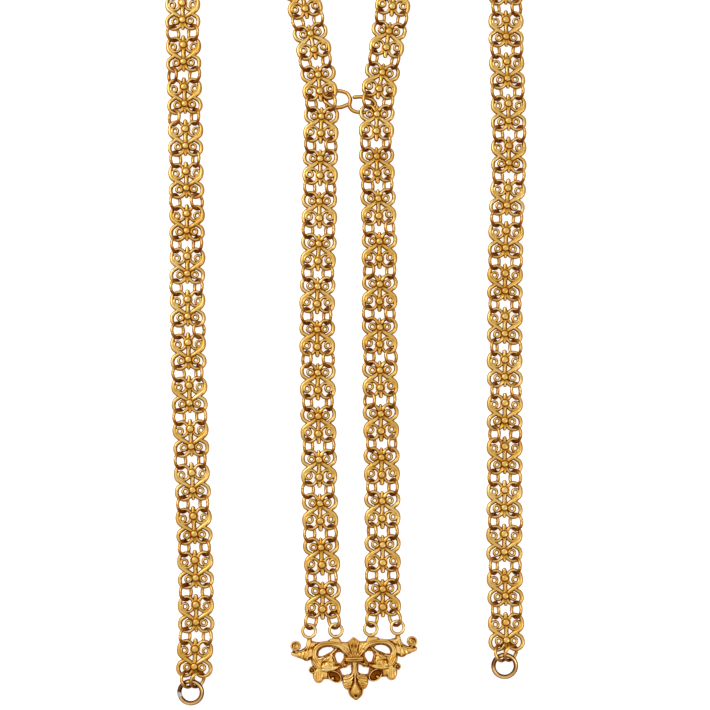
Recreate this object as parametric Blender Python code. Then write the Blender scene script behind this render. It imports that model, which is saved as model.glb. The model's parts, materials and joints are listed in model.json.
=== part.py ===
"""A clergy chain lying face up: two halves of a pierced band, an S-hook between them,
a cast crest below and a ring at each free end. Lengths here are millimetres; the last
step turns each solid into metres. The crest's collar is the origin, with its flat back
on the floor, +Y towards the wearer's neck and +Z towards the viewer."""

import math

import bmesh
import bpy
from mathutils import Matrix, Vector

MM = 0.001
CLEARANCE = 0.3
FLOOR_GAP = 0.02

# The band: one plaque and the joint that follows it
PITCH = 14.5
PLAQUES_PER_HALF = 42
JOINT_BELOW = 7.0
LOBE_REACH = 6.0
LOBE_CENTRE_X = 3.1
UPPER_LOBE_Y = 3.4
LOWER_LOBE_Y = -2.85
LOBE_HOLE_RADIUS = 2.4
LOBE_WIRE = 0.55
LOBE_SHOULDER = 0.5
LOBE_CHEEK = 1.7
WAIST_HALF = 3.9
WAIST_Y = 0.15
SPIKE_Y = 5.7
STUB_Y = -6.2
PLATE_HALF = 0.6
HOLE_SIDES = 12

# The jump rings, as links of their own and as the bars that stand for them in the band
LINK_RADIUS = 2.7
LINK_WIRE = 0.78
LINK_TILT = math.radians(48.0)
HOOK_LINK_TILT = math.radians(54.0)
LINK_STEPS = 12
LINK_SIDES = 6
LINK_CENTRE_X = 3.375
LINK_RISE = LINK_RADIUS * math.sin(LINK_TILT) + 0.5 * LINK_WIRE
LINK_SPREAD = LINK_RADIUS * math.cos(LINK_TILT) + 0.5 * LINK_WIRE
BAR_ROOT_HALF = 1.6
REST_HEIGHT = LINK_RISE + FLOOR_GAP

# The turn behind the neck
FLAT_UP_TO_Y = 222.0
TURN_STEPS = 8
TURN_FROM = 0.06
PLAQUES_TO_TURN = 21
ROUTE_STEP = 0.5

# The end rings
END_RING_RADIUS = 3.7
END_RING_WIRE = 1.4
END_RING_STEPS = 16
END_RING_AHEAD = 11.3
END_LINK_TILT = math.radians(46.0)

# The hook
HOOK_WIRE = 0.95
HOOK_JOINT = 12
HOOK_PULL = 0.35
HOOK_SIDES = 6
HOOK_STEP = 1.5

# The crest
CREST_TURN = math.radians(2.3)
CREST_PLATE = 1.7
CREST_ARM_HEIGHT = 1.55
CREST_VOLUTE_HEIGHT = 1.45
CAST_RING_RADIUS = 2.08
CAST_RING_WIRE = 0.96
CREST_RING_STEPS = 12
CAST_RING_CENTRES = ((14.58, 9.8), (5.75, 9.67))

# Each half's route from the crest up to the turn, and from the turn to the free end (x, y)
HALVES = {
    "left": {
        "side": 1,
        "up": [
            (-10.4, 12.2),
            (-10.6, 26.5),
            (-11.4, 48.0),
            (-12.0, 77.0),
            (-12.4, 106.0),
            (-12.5, 120.5),
            (-11.9, 142.0),
            (-11.6, 164.0),
            (-11.1, 180.0),
            (-11.3, 189.0),
            (-12.6, 199.0),
            (-15.0, 211.0),
            (-18.2, 226.0),
        ],
        "down": [
            (-58.6, 226.0),
            (-58.1, 207.0),
            (-57.0, 173.0),
            (-56.2, 140.0),
            (-55.6, 106.0),
            (-54.4, 72.0),
            (-52.9, 39.0),
            (-52.1, 16.0),
            (-52.4, 2.0),
            (-52.9, -8.0),
            (-53.4, -22.0),
        ],
        "turn_centre": (-44.5, 283.3),
        "turn_radius": 15.0,
        "end_ring_aside": 0.8,
    },
    "right": {
        "side": -1,
        "up": [
            (9.35, 13.0),
            (9.35, 32.0),
            (9.2, 52.0),
            (8.8, 79.0),
            (8.4, 106.0),
            (8.5, 130.0),
            (8.1, 151.0),
            (7.5, 167.0),
            (7.2, 180.0),
            (8.0, 189.0),
            (9.6, 198.0),
            (11.5, 210.0),
            (13.8, 226.0),
        ],
        "down": [
            (51.4, 226.0),
            (51.5, 204.0),
            (52.2, 180.0),
            (51.9, 161.0),
            (50.8, 140.0),
            (50.3, 112.0),
            (50.1, 85.0),
            (49.8, 55.0),
            (49.5, 30.0),
            (50.1, 12.0),
            (50.0, 0.0),
            (49.9, -14.0),
        ],
        "turn_centre": (35.6, 288.4),
        "turn_radius": 15.0,
        "end_ring_aside": 0.6,
    },
}

# The hook's wire from its left end to its right end (x, y, height)
HOOK_ROUTE = [
    (-2.2, 186.1, 1.0),
    (-4.4, 185.15, 1.1),
    (-6.3, 185.0, 1.25),
    (-7.7, 185.35, 1.45),
    (-8.9, 186.1, 1.55),
    (-10.05, 187.1, 1.35),
    (-10.45, 188.2, 1.05),
    (-9.8, 189.6, 0.85),
    (-8.2, 190.5, 0.75),
    (-6.0, 190.85, 0.75),
    (-4.2, 190.7, 0.75),
    (-2.4, 189.9, 0.8),
    (-1.4, 187.9, 0.95),
    (-1.7, 185.8, 0.9),
    (-0.8, 184.2, 0.8),
    (1.1, 183.5, 0.75),
    (3.2, 183.4, 0.75),
    (5.0, 183.8, 0.8),
    (6.35, 184.7, 0.9),
    (7.1, 185.9, 1.0),
    (6.7, 187.0, 1.3),
    (5.9, 187.7, 1.45),
    (4.9, 188.1, 1.35),
    (3.4, 188.5, 1.2),
    (1.9, 188.75, 1.1),
    (0.0, 188.6, 1.0),
]

# The crest's outline from its apex round the right side to its tip, and its openings (x, y)
CREST_OUTLINE = [
    (1.1, 5.9),
    (2.5, 5.0),
    (3.7, 5.5),
    (5.0, 7.4),
    (6.5, 7.3),
    (8.2, 6.5),
    (11.0, 6.2),
    (13.0, 6.4),
    (13.7, 7.6),
    (15.4, 7.5),
    (15.3, 5.4),
    (16.4, 4.0),
    (17.6, 3.9),
    (17.6, 5.9),
    (19.1, 6.8),
    (20.7, 5.8),
    (20.75, 4.1),
    (20.9, 3.0),
    (19.6, 2.5),
    (17.6, 1.9),
    (16.0, 0.9),
    (14.6, 0.2),
    (14.2, -1.9),
    (14.9, -3.2),
    (13.9, -4.0),
    (13.5, -6.0),
    (12.1, -7.1),
    (11.0, -6.3),
    (10.3, -4.9),
    (8.9, -5.0),
    (8.3, -6.2),
    (6.8, -6.9),
    (5.2, -6.4),
    (4.7, -5.5),
    (4.6, -7.8),
    (3.6, -9.3),
    (2.4, -9.5),
    (1.9, -11.0),
]
CREST_APEX_Y = 7.1
CREST_TIP_Y = -12.55
CREST_OPENINGS = [
    [
        (11.9, 1.4),
        (11.5, 3.1),
        (10.4, 4.0),
        (9.0, 4.3),
        (7.4, 4.25),
        (6.1, 3.9),
        (7.1, 2.7),
        (8.6, 2.1),
        (10.3, 1.2),
        (11.4, 0.8),
    ],
    [
        (4.6, 2.4),
        (6.1, 2.1),
        (6.2, 1.0),
        (5.4, -0.9),
        (4.6, -1.1),
        (3.6, 0.6),
        (3.6, 1.8),
    ],
    [
        (4.8, -3.2),
        (3.2, -2.65),
        (1.3, -2.5),
        (1.25, -4.1),
        (2.5, -5.1),
        (4.1, -4.9),
    ],
]
CREST_ARM = [
    (12.3, -0.2),
    (13.1, 2.2),
    (12.4, 4.4),
    (10.3, 5.3),
    (7.6, 5.3),
    (5.0, 4.6),
    (3.2, 3.2),
    (1.7, 1.0),
]
CREST_ARM_WIDTH = 1.9
# Raised forms on one side of the crest (x, y, height, half sizes x, y, z, turn in degrees)
CREST_SIDE_FORMS = [
    (3.0, -7.1, 1.6, 1.4, 2.3, 1.5, 20.0),
    (12.2, -5.1, 1.5, 1.35, 2.0, 1.3, 0.0),
    (14.1, -2.7, 1.3, 1.0, 1.0, 1.0, 0.0),
    (6.7, -5.1, 1.6, 2.0, 1.6, 1.5, -25.0),
    (8.3, -0.5, 1.8, 2.6, 1.7, 1.6, -30.0),
    (11.9, -2.1, 1.6, 2.0, 1.3, 1.3, 20.0),
    (17.2, 2.8, 1.5, 2.1, 1.0, 1.2, 25.0),
    (14.5, 7.0, 1.5, 1.05, 0.95, 1.3, 0.0),
    (5.75, 6.9, 1.5, 1.2, 0.9, 1.3, 0.0),
]
CREST_MIDDLE_FORMS = [
    (0.0, 3.9, 1.9, 1.35, 3.0, 1.7, 0.0),
    (0.0, -9.4, 1.6, 1.9, 2.9, 1.5, 0.0),
    (0.0, -4.0, 1.4, 0.9, 3.6, 1.3, 0.0),
]
CREST_VOLUTE = (19.1, 5.0)
CREST_VOLUTE_RADIUS = 1.2
CREST_VOLUTE_WIRE = 1.1
CREST_COLLAR = (6.4, 1.4, 2.8)
CREST_COLLAR_TOP = 3.2
FORM_SEGMENTS = 8
FORM_RINGS = 5
FLAT_ENOUGH = math.radians(2.0)

GILT = (0.83, 0.60, 0.22, 1.0)


def clear_scene():
    for obj in list(bpy.data.objects):
        bpy.data.objects.remove(obj)


def collection(name, hidden):
    made = bpy.data.collections.new(name)
    made.hide_render = hidden
    bpy.context.scene.collection.children.link(made)
    return made


def gilt_metal(name):
    metal = bpy.data.materials.new(name)
    metal.use_nodes = True
    shader = metal.node_tree.nodes["Principled BSDF"]
    shader.inputs["Base Color"].default_value = GILT
    shader.inputs["Metallic"].default_value = 1.0
    shader.inputs["Roughness"].default_value = 0.28
    return metal


def solid_mesh(obj):
    """The object's finished mesh, with the doubled points of a curve's caps joined."""
    bpy.context.view_layer.update()
    graph = bpy.context.evaluated_depsgraph_get()
    mesh = bpy.data.meshes.new_from_object(obj.evaluated_get(graph))
    shape = bmesh.new()
    shape.from_mesh(mesh)
    bmesh.ops.remove_doubles(shape, verts=shape.verts, dist=MM * 0.1)
    bmesh.ops.recalc_face_normals(shape, faces=shape.faces)
    shape.to_mesh(mesh)
    shape.free()
    return mesh


def place(name, mesh):
    """A finished piece: the millimetre mesh in metres, with its own material."""
    mesh.transform(Matrix.Scale(MM, 4))
    mesh.materials.clear()
    mesh.materials.append(gilt_metal(name))
    obj = bpy.data.objects.new(name, mesh)
    pieces.objects.link(obj)
    return obj


def flat_curve(outlines, half_thickness):
    """A filled plate on z = 0 from closed outlines, where inner outlines are holes."""
    curve = bpy.data.curves.new("plate", "CURVE")
    curve.dimensions = "2D"
    curve.fill_mode = "BOTH"
    curve.extrude = half_thickness
    for outline in outlines:
        spline = curve.splines.new("POLY")
        spline.points.add(len(outline) - 1)
        for point, (x, y) in zip(spline.points, outline):
            point.co = (x, y, 0.0, 1.0)
        spline.use_cyclic_u = True
    obj = bpy.data.objects.new("plate", curve)
    helpers.objects.link(obj)
    return obj


def wire(points, radius, sides, cyclic):
    """A round wire through the points."""
    curve = bpy.data.curves.new("wire", "CURVE")
    curve.dimensions = "3D"
    curve.bevel_depth = radius
    curve.bevel_resolution = (sides - 4) // 2
    curve.use_fill_caps = not cyclic
    spline = curve.splines.new("POLY")
    spline.points.add(len(points) - 1)
    for point, co in zip(spline.points, points):
        point.co = (*co, 1.0)
    spline.use_cyclic_u = cyclic
    obj = bpy.data.objects.new("wire", curve)
    helpers.objects.link(obj)
    return obj


def taken(obj):
    """The mesh of a helper object, which is then removed."""
    mesh = solid_mesh(obj)
    bpy.data.objects.remove(obj)
    return mesh


def smoothed(points, step):
    """A curve through the points, sampled about every step."""
    points = [Vector(point) for point in points]
    ends = [2 * points[0] - points[1]], [2 * points[-1] - points[-2]]
    full = ends[0] + points + ends[1]
    path = []
    for before, start, end, after in zip(full, full[1:], full[2:], full[3:]):
        count = max(1, round((end - start).length / step))
        for index in range(count):
            t = index / count
            bend = (
                2 * start
                + (end - before) * t
                + (2 * before - 5 * start + 4 * end - after) * t**2
                + (3 * start - 3 * end + after - before) * t**3
            )
            path.append(bend / 2)
    return path + [points[-1]]


def roll_at(y, turn_y):
    """How far the band has rolled onto its edge, from flat to upright at the turn."""
    share = min(max((y - FLAT_UP_TO_Y) / (turn_y - FLAT_UP_TO_Y), 0.0), 1.0)
    return math.radians(90.0) * share * share * (3.0 - 2.0 * share)


def band_path(half):
    """The band's middle line with its height, from the crest to the free end."""
    x, y = half["turn_centre"]
    arc = []
    for step in range(TURN_STEPS + 1):
        angle = math.pi * (TURN_FROM + (1.0 - TURN_FROM) * step / TURN_STEPS)
        arc.append(
            (
                x + half["side"] * half["turn_radius"] * math.cos(angle),
                y + half["turn_radius"] * math.sin(angle),
            )
        )
    flat = smoothed(half["up"] + arc + half["down"], ROUTE_STEP)
    path = []
    for point in flat:
        roll = roll_at(point.y, y)
        height = REST_HEIGHT * math.cos(roll) + LOBE_REACH * math.sin(roll)
        path.append((Vector((point.x, point.y, height)), roll * half["side"]))
    return path


def joints_along(path):
    """Points a pitch apart along the path, each with the band's roll there."""
    joints = [path[0]]
    for (start, _), (end, roll) in zip(path, path[1:]):
        last = joints[-1][0]
        if (end - last).length < PITCH:
            continue
        reach = (start - last).length
        share = (PITCH - reach) / ((end - last).length - reach)
        joints.append((start.lerp(end, share), roll))
        if len(joints) == PLAQUES_PER_HALF + 1:
            break
    return joints


def frame(origin, along, roll):
    """A frame whose x is across the band, y along it and z out of its face."""
    along = along.normalized()
    across = Vector((along.y, -along.x, 0.0)).normalized()
    out = across.cross(along)
    face = out * math.cos(roll) + across * math.sin(roll)
    side = across * math.cos(roll) - out * math.sin(roll)
    made = Matrix((side, along, face)).transposed().to_4x4()
    made.translation = origin
    return made


def band_frames(half):
    """The frames of the plaques, and of the joints before, between and after them."""
    joints = joints_along(band_path(half))
    plaques = []
    for (start, roll_before), (end, roll_after) in zip(joints, joints[1:]):
        along = (end - start).normalized()
        roll = 0.5 * (roll_before + roll_after)
        plaques.append(frame(start + along * JOINT_BELOW, along, roll))
    links = []
    for index, (point, roll) in enumerate(joints):
        before = plaques[max(index - 1, 0)].col[1].to_3d()
        after = plaques[min(index, len(plaques) - 1)].col[1].to_3d()
        links.append(frame(point, before + after, roll))
    return plaques, links


def lobe_root(upper, outer):
    """Where a bar meets a lobe, on its outer or its inner side."""
    x = LOBE_CENTRE_X + (BAR_ROOT_HALF if outer else -BAR_ROOT_HALF)
    rise = LOBE_HOLE_RADIUS
    return (x, UPPER_LOBE_Y + rise if upper else LOWER_LOBE_Y - rise)


def lobe_end(upper):
    reach = LOBE_HOLE_RADIUS + LOBE_WIRE
    return (LOBE_CENTRE_X, UPPER_LOBE_Y + reach if upper else LOWER_LOBE_Y - reach)


def plaque_outline(pierced):
    """One plaque's edge, anticlockwise. Each lobe named in pierced is rounded off."""
    outline = []
    right = [
        lobe_root(False, False),
        lobe_end(False),
        lobe_root(False, True),
        (LOBE_REACH, LOWER_LOBE_Y - LOBE_SHOULDER),
        (LOBE_REACH - LOBE_SHOULDER, LOWER_LOBE_Y + LOBE_CHEEK),
        (WAIST_HALF, WAIST_Y),
        (LOBE_REACH - LOBE_SHOULDER, UPPER_LOBE_Y - LOBE_CHEEK),
        (LOBE_REACH, UPPER_LOBE_Y + LOBE_SHOULDER),
        lobe_root(True, True),
        lobe_end(True),
        lobe_root(True, False),
    ]
    for x, y in right:
        if (x, y) == lobe_end(y > 0) and (y > 0, 1) not in pierced:
            continue
        outline.append((x, y))
    outline.append((0.0, SPIKE_Y))
    for x, y in reversed(right):
        if (x, y) == lobe_end(y > 0) and (y > 0, -1) not in pierced:
            continue
        outline.append((-x, y))
    outline.append((0.0, STUB_Y))
    return outline


def lobe_hole(upper, sign):
    centre = UPPER_LOBE_Y if upper else LOWER_LOBE_Y
    hole = []
    for step in range(HOLE_SIDES):
        angle = 2 * math.pi * (step + 0.5) / HOLE_SIDES
        hole.append(
            (
                sign * LOBE_CENTRE_X + LOBE_HOLE_RADIUS * math.cos(angle),
                centre + LOBE_HOLE_RADIUS * math.sin(angle),
            )
        )
    return hole


def plaque_mesh(pierced):
    outlines = [plaque_outline(pierced)]
    for upper, sign in pierced:
        outlines.append(lobe_hole(upper, sign))
    return taken(flat_curve(outlines, PLATE_HALF))


def root_section(upper, sign):
    """The four corners where a bar leaves a lobe, in the plaque's frame."""
    outer = lobe_root(upper, True)
    inner = lobe_root(upper, False)
    return [
        Vector((sign * outer[0], outer[1], -PLATE_HALF)),
        Vector((sign * outer[0], outer[1], PLATE_HALF)),
        Vector((sign * inner[0], inner[1], PLATE_HALF)),
        Vector((sign * inner[0], inner[1], -PLATE_HALF)),
    ]


def middle_section(sign, gap):
    """The four corners of a bar half way between two plaques, in the joint's frame."""
    outer = sign * (LINK_CENTRE_X + LINK_SPREAD)
    inner = sign * (LINK_CENTRE_X - LINK_SPREAD)
    return [
        Vector((outer, gap, -LINK_RISE)),
        Vector((outer, gap, LINK_RISE)),
        Vector((inner, gap, LINK_RISE)),
        Vector((inner, gap, -LINK_RISE)),
    ]


def loft(shape, first, second, closed_end):
    """Four faces from one section to the other, and a face over the second's end."""
    a = [shape.verts.new(point) for point in first]
    b = [shape.verts.new(point) for point in second]
    for index in range(4):
        following = (index + 1) % 4
        shape.faces.new((a[index], a[following], b[following], b[index]))
    if closed_end:
        shape.faces.new(b)


def band(name, plaques, links, span, hook_side):
    """Plaques span[0] to span[1] of a half with the bars between them, as one solid."""
    shape = bmesh.new()
    last = len(plaques) - 1
    for index in range(*span):
        pierced = []
        barred = []
        for upper in (False, True):
            joint = index + 1 if upper else index
            for sign in (-1, 1):
                free = joint in (0, last + 1)
                hooked = joint == HOOK_JOINT and sign == hook_side
                (pierced if free or hooked else barred).append((upper, sign))
        mesh = plaque_mesh(tuple(pierced))
        mesh.transform(plaques[index])
        known = len(shape.faces)
        shape.from_mesh(mesh)
        bpy.data.meshes.remove(mesh)
        shape.faces.ensure_lookup_table()
        for upper, sign in barred:
            root = [plaques[index] @ point for point in root_section(upper, sign)]
            middle = sum(root, Vector()) / 4
            side = min(
                shape.faces[known:],
                key=lambda face: (face.calc_center_median() - middle).length,
            )
            bmesh.ops.delete(shape, geom=[side], context="FACES_ONLY")
            shape.faces.ensure_lookup_table()
            joint = index + 1 if upper else index
            parting = joint in span
            gap = 0.5 * CLEARANCE * (-1 if upper else 1) if parting else 0.0
            far = [links[joint] @ point for point in middle_section(sign, gap)]
            loft(shape, root, far, parting)
    bmesh.ops.remove_doubles(shape, verts=shape.verts, dist=MM)
    bmesh.ops.recalc_face_normals(shape, faces=shape.faces)
    mesh = bpy.data.meshes.new(name)
    shape.to_mesh(mesh)
    shape.free()
    place(name, mesh)


def ring(name, centre, normal, start, radius, wire_width, steps, sides):
    """A ring of round wire about the normal, its first point towards start."""
    normal = normal.normalized()
    across = normal.cross(start).normalized()
    start = across.cross(normal)
    points = []
    for step in range(steps):
        angle = 2 * math.pi * step / steps
        offset = start * math.cos(angle) + across * math.sin(angle)
        points.append(centre + radius * offset)
    place(name, taken(wire(points, 0.5 * wire_width, sides, True)))


def link_through(name, first, first_hole, second, second_hole, tilt):
    """A jump ring through two holes, tilted about the line between their centres."""
    along = (second - first).normalized()
    across = Vector((0.0, 0.0, 1.0)).cross(along).normalized()
    normal = across.cross(along) * -math.cos(tilt) + across * math.sin(tilt)
    centre = 0.5 * (first + along * first_hole + second - along * second_hole)
    centre.z = LINK_RADIUS * math.sin(abs(tilt)) + 0.5 * LINK_WIRE + FLOOR_GAP
    ring(name, centre, normal, along, LINK_RADIUS, LINK_WIRE, LINK_STEPS, LINK_SIDES)


def lobe_middle(plaque, upper, sign, aside=0.0):
    """The middle of a pierced lobe's hole, or a point a little outside of it."""
    y = UPPER_LOBE_Y if upper else LOWER_LOBE_Y
    return plaque @ Vector((sign * (LOBE_CENTRE_X + aside), y, 0.0))


def free_end(name, plaque, aside):
    """The big ring at a strand's free end, and the two jump rings that hold it."""
    near = REST_HEIGHT
    far = 0.5 * END_RING_WIRE + FLOOR_GAP
    middle = plaque @ Vector((aside, END_RING_AHEAD, 0.0))
    middle.z = 0.5 * (near + far)
    lean = math.asin((near - far) / (2 * END_RING_RADIUS))
    ahead = (plaque.col[1].to_3d() * math.cos(lean)) + Vector((0, 0, -math.sin(lean)))
    across = plaque.col[0].to_3d()
    ring(
        f"end_ring_{name}",
        middle,
        across.cross(ahead),
        ahead,
        END_RING_RADIUS,
        END_RING_WIRE,
        END_RING_STEPS,
        LINK_SIDES,
    )
    inside = END_RING_RADIUS - 0.5 * END_RING_WIRE
    for number, sign in enumerate((-1, 1), 1):
        lobe = lobe_middle(plaque, True, sign)
        link = f"end_link_{name}_{number}"
        link_through(link, lobe, LOBE_HOLE_RADIUS, middle, inside, END_LINK_TILT)


def crest_place(x, y, z):
    """A point of the crest, turned with it."""
    return Matrix.Rotation(CREST_TURN, 4, "Z") @ Vector((x, y, z))


def crest_form(row):
    """A raised round form of the crest."""
    x, y, z, half_x, half_y, half_z, turn = row
    bpy.ops.mesh.primitive_uv_sphere_add(
        segments=FORM_SEGMENTS, ring_count=FORM_RINGS, radius=1.0
    )
    obj = bpy.context.object
    obj.data.transform(Matrix.Diagonal((half_x, half_y, half_z, 1.0)))
    obj.data.transform(Matrix.Rotation(math.radians(turn), 4, "Z"))
    obj.data.transform(Matrix.Translation((x, y, z)))
    return obj


def crest_block(size, top):
    bpy.ops.mesh.primitive_cube_add(size=1.0)
    obj = bpy.context.object
    obj.data.transform(Matrix.Diagonal((size[0], size[1], size[2], 1.0)))
    obj.data.transform(Matrix.Translation((0.0, 0.0, top - 0.5 * size[2])))
    return obj


def crest_ring(x, y, z, radius, wire_width):
    points = []
    for step in range(CREST_RING_STEPS):
        angle = 2 * math.pi * step / CREST_RING_STEPS
        points.append((x + radius * math.cos(angle), y + radius * math.sin(angle), z))
    mesh = taken(wire(points, 0.5 * wire_width, LINK_SIDES, True))
    obj = bpy.data.objects.new("crest_ring", mesh)
    helpers.objects.link(obj)
    return obj


def crest():
    """The cast crest: a pierced plate with its relief and four rings, as one solid."""
    right = [(x, y) for x, y in CREST_OUTLINE]
    left = [(-x, y) for x, y in reversed(CREST_OUTLINE)]
    outlines = [[(0.0, CREST_APEX_Y)] + right + [(0.0, CREST_TIP_Y)] + left]
    for opening in CREST_OPENINGS:
        outlines.append(opening)
        outlines.append([(-x, y) for x, y in opening])
    plate = taken(flat_curve(outlines, 0.5 * CREST_PLATE))
    plate.transform(Matrix.Translation((0.0, 0.0, 0.5 * CREST_PLATE)))
    body = bpy.data.objects.new("crest_plate", plate)
    helpers.objects.link(body)
    added = [crest_form(row) for row in CREST_MIDDLE_FORMS]
    added.append(crest_block(CREST_COLLAR, CREST_COLLAR_TOP))
    for sign in (1, -1):
        for x, y, z, half_x, half_y, half_z, turn in CREST_SIDE_FORMS:
            row = (sign * x, y, z, half_x, half_y, half_z, sign * turn)
            added.append(crest_form(row))
        path = [(sign * x, y, CREST_ARM_HEIGHT) for x, y in CREST_ARM]
        arm = smoothed(path, CREST_ARM_WIDTH)
        mesh = taken(wire(arm, 0.5 * CREST_ARM_WIDTH, 8, False))
        obj = bpy.data.objects.new("crest_arm", mesh)
        helpers.objects.link(obj)
        added.append(obj)
        x, y = CREST_VOLUTE
        volute = crest_ring(
            sign * x, y, CREST_VOLUTE_HEIGHT, CREST_VOLUTE_RADIUS, CREST_VOLUTE_WIRE
        )
        added.append(volute)
        for x, y in CAST_RING_CENTRES:
            added.append(
                crest_ring(sign * x, y, REST_HEIGHT, CAST_RING_RADIUS, CAST_RING_WIRE)
            )
    for obj in added:
        join = body.modifiers.new("join", "BOOLEAN")
        join.operation = "UNION"
        join.solver = "EXACT"
        join.object = obj
    mesh = solid_mesh(body)
    for obj in added + [body]:
        bpy.data.objects.remove(obj)
    shape = bmesh.new()
    shape.from_mesh(mesh)
    bmesh.ops.dissolve_limit(
        shape, angle_limit=FLAT_ENOUGH, verts=shape.verts, edges=shape.edges
    )
    bmesh.ops.triangulate(shape, faces=shape.faces)
    shape.to_mesh(mesh)
    shape.free()
    mesh.transform(Matrix.Rotation(CREST_TURN, 4, "Z"))
    place("pendant", mesh)


def crest_links():
    """The four jump rings between the crest and the two inner strands, left to right."""
    rows = [("left", -1, 0), ("left", 1, 1), ("right", -1, 1), ("right", 1, 0)]
    for number, (name, sign, which) in enumerate(rows, 1):
        x, y = CAST_RING_CENTRES[which]
        x = -x if name == "left" else x
        middle = crest_place(x, y, REST_HEIGHT)
        lobe = lobe_middle(frames[name][0][0], False, sign)
        inside = CAST_RING_RADIUS - 0.5 * CAST_RING_WIRE
        link = f"pendant_link_{number}"
        link_through(link, middle, inside, lobe, LOBE_HOLE_RADIUS, sign * LINK_TILT)


def hook():
    """The S-hook, and the two jump rings that it joins."""
    path = smoothed(HOOK_ROUTE, HOOK_STEP)
    place("s_hook", taken(wire(path, 0.5 * HOOK_WIRE, HOOK_SIDES, False)))
    for name, half in HALVES.items():
        plaques = frames[name][0]
        sign = half["side"]
        below = lobe_middle(plaques[HOOK_JOINT - 1], True, sign, HOOK_PULL)
        above = lobe_middle(plaques[HOOK_JOINT], False, sign, HOOK_PULL)
        hole = LOBE_HOLE_RADIUS
        tilt = sign * HOOK_LINK_TILT
        link_through(f"hook_link_{name}", below, hole, above, hole, tilt)


clear_scene()
pieces = collection("clergy_chain", False)
helpers = collection("helpers", True)
frames = {name: band_frames(half) for name, half in HALVES.items()}
for half_name, half_values in HALVES.items():
    half_plaques, half_links = frames[half_name]
    spans = {
        "inner": (0, PLAQUES_TO_TURN),
        "outer": (PLAQUES_TO_TURN, PLAQUES_PER_HALF),
    }
    for strand, strand_span in spans.items():
        band(
            f"chain_{half_name}_{strand}",
            half_plaques,
            half_links,
            strand_span,
            half_values["side"],
        )
    free_end(half_name, half_plaques[-1], half_values["end_ring_aside"])
crest()
crest_links()
hook()
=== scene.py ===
"""The looks of a clergy chain that lies face up: pierced gilt plaques joined by pairs of
jump rings, a cast crest, an S-hook and a ring at each free end. Lengths are millimetres
until the last step of each piece, which turns it into metres."""

import json
from math import asin, atan, copysign, cos, pi, radians, sin, sqrt

import bmesh
import bpy
import numpy as np
from mathutils import Matrix, Vector, noise
from mathutils.bvhtree import BVHTree
from mathutils.geometry import tessellate_polygon

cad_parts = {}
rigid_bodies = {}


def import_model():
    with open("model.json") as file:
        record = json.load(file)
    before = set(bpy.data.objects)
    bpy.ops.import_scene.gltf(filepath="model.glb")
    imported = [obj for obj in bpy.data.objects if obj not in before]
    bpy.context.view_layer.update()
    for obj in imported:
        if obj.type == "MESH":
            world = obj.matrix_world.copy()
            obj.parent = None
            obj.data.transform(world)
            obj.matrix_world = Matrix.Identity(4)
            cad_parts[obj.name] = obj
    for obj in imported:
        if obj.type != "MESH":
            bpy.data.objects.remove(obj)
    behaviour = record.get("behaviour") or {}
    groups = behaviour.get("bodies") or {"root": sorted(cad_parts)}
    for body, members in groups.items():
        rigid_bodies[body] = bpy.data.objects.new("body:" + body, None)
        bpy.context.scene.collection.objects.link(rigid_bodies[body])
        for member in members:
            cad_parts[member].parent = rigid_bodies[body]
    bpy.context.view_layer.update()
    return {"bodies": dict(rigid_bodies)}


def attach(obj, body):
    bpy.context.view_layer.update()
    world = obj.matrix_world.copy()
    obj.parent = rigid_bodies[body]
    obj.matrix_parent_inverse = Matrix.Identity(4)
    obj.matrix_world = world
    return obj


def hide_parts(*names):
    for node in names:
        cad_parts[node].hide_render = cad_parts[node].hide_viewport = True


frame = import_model()

MM = 0.001
SEED = 11
FLOOR_GAP = 0.02
WHOLE_TURN = 2 * pi
TINY = 1e-12
UPWARDS = Vector((0.0, 0.0, 1.0))

# The band and its joints, as in the part
PITCH = 14.5
PLAQUES_PER_HALF = 42
PLAQUES_TO_TURN = 21
JOINT_BELOW = 7.0
LOBE_REACH = 6.0
LOBE_CENTRE_X = 3.1
UPPER_LOBE_Y = 3.4
LOWER_LOBE_Y = -2.85
LOBE_HOLE_RADIUS = 2.4
REST_HEIGHT = 2.417
FLAT_UP_TO_Y = 222.0
TURN_RADIUS = 15.0
TURN_STEPS = 8
TURN_FROM = 0.06
ROUTE_STEP = 0.5

# The plaques: back and fineness of their skin, and how single ones differ
PLAQUE_BACK = -0.6
PLAQUE_VOXEL = 0.075
PLAQUE_TRIANGLES = 5400
PLAQUE_FULLER = 1.12
CASTINGS = 3
UNEVEN = np.array((0.1, 0.1, 0.05))
UNEVEN_SHIFT = (7.3, 3.1)
UNEVEN_SCALE = 0.28
PLAQUE_TONE = (-0.04, 0.08)
PLAQUE_LEAN = 2.2

# The jump rings within a strand: size, places, and the spread that each one is drawn from
RING_RADIUS = 2.55
RING_WIRE = 1.14
RING_STEPS = 28
RING_SIDES = 10
RING_CENTRE_X = (3.35, 3.85)
RING_TILT = (45.0, 63.0)
RING_SPIN = 0.4
RING_LEAN = 4.0
RING_TONE = (0.04, 0.2)
TURN_RING_TILT = 0.75
TURN_RING_ASIDE = 0.9
OUTER_LIMB_UP = 0.8
RING_SEAM = 0.03
RING_SEAM_DEPTH = 0.2
# Where they darken, as shares of the radius, in painted shade: towards both ends, where they lie in the
# lobes' shadow, and on the lower limbs, towards -y and away from the light
RING_END_FROM = 0.55
RING_END_SHADE = 0.66
LIMB_FROM = 0.22
LIMB_TO = 0.6
LIMB_SHADE = 0.62

# The jump rings of their own at the crest, the hook and the free ends, as in the part but
# shown a little smaller and thicker
LINK_RADIUS = 2.7
LINK_RISE_WIRE = 0.78
LINK_SHOWN_RADIUS = 2.58
LINK_WIRE = 1.14
LINK_STEPS = 40
LINK_SIDES = 12
LINK_PULL = 0.22
LINK_TILT = radians(48.0)
HOOK_LINK_TILT = radians(54.0)
END_LINK_TILT = radians(46.0)
WIRE_STAIN = 0.12
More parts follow.
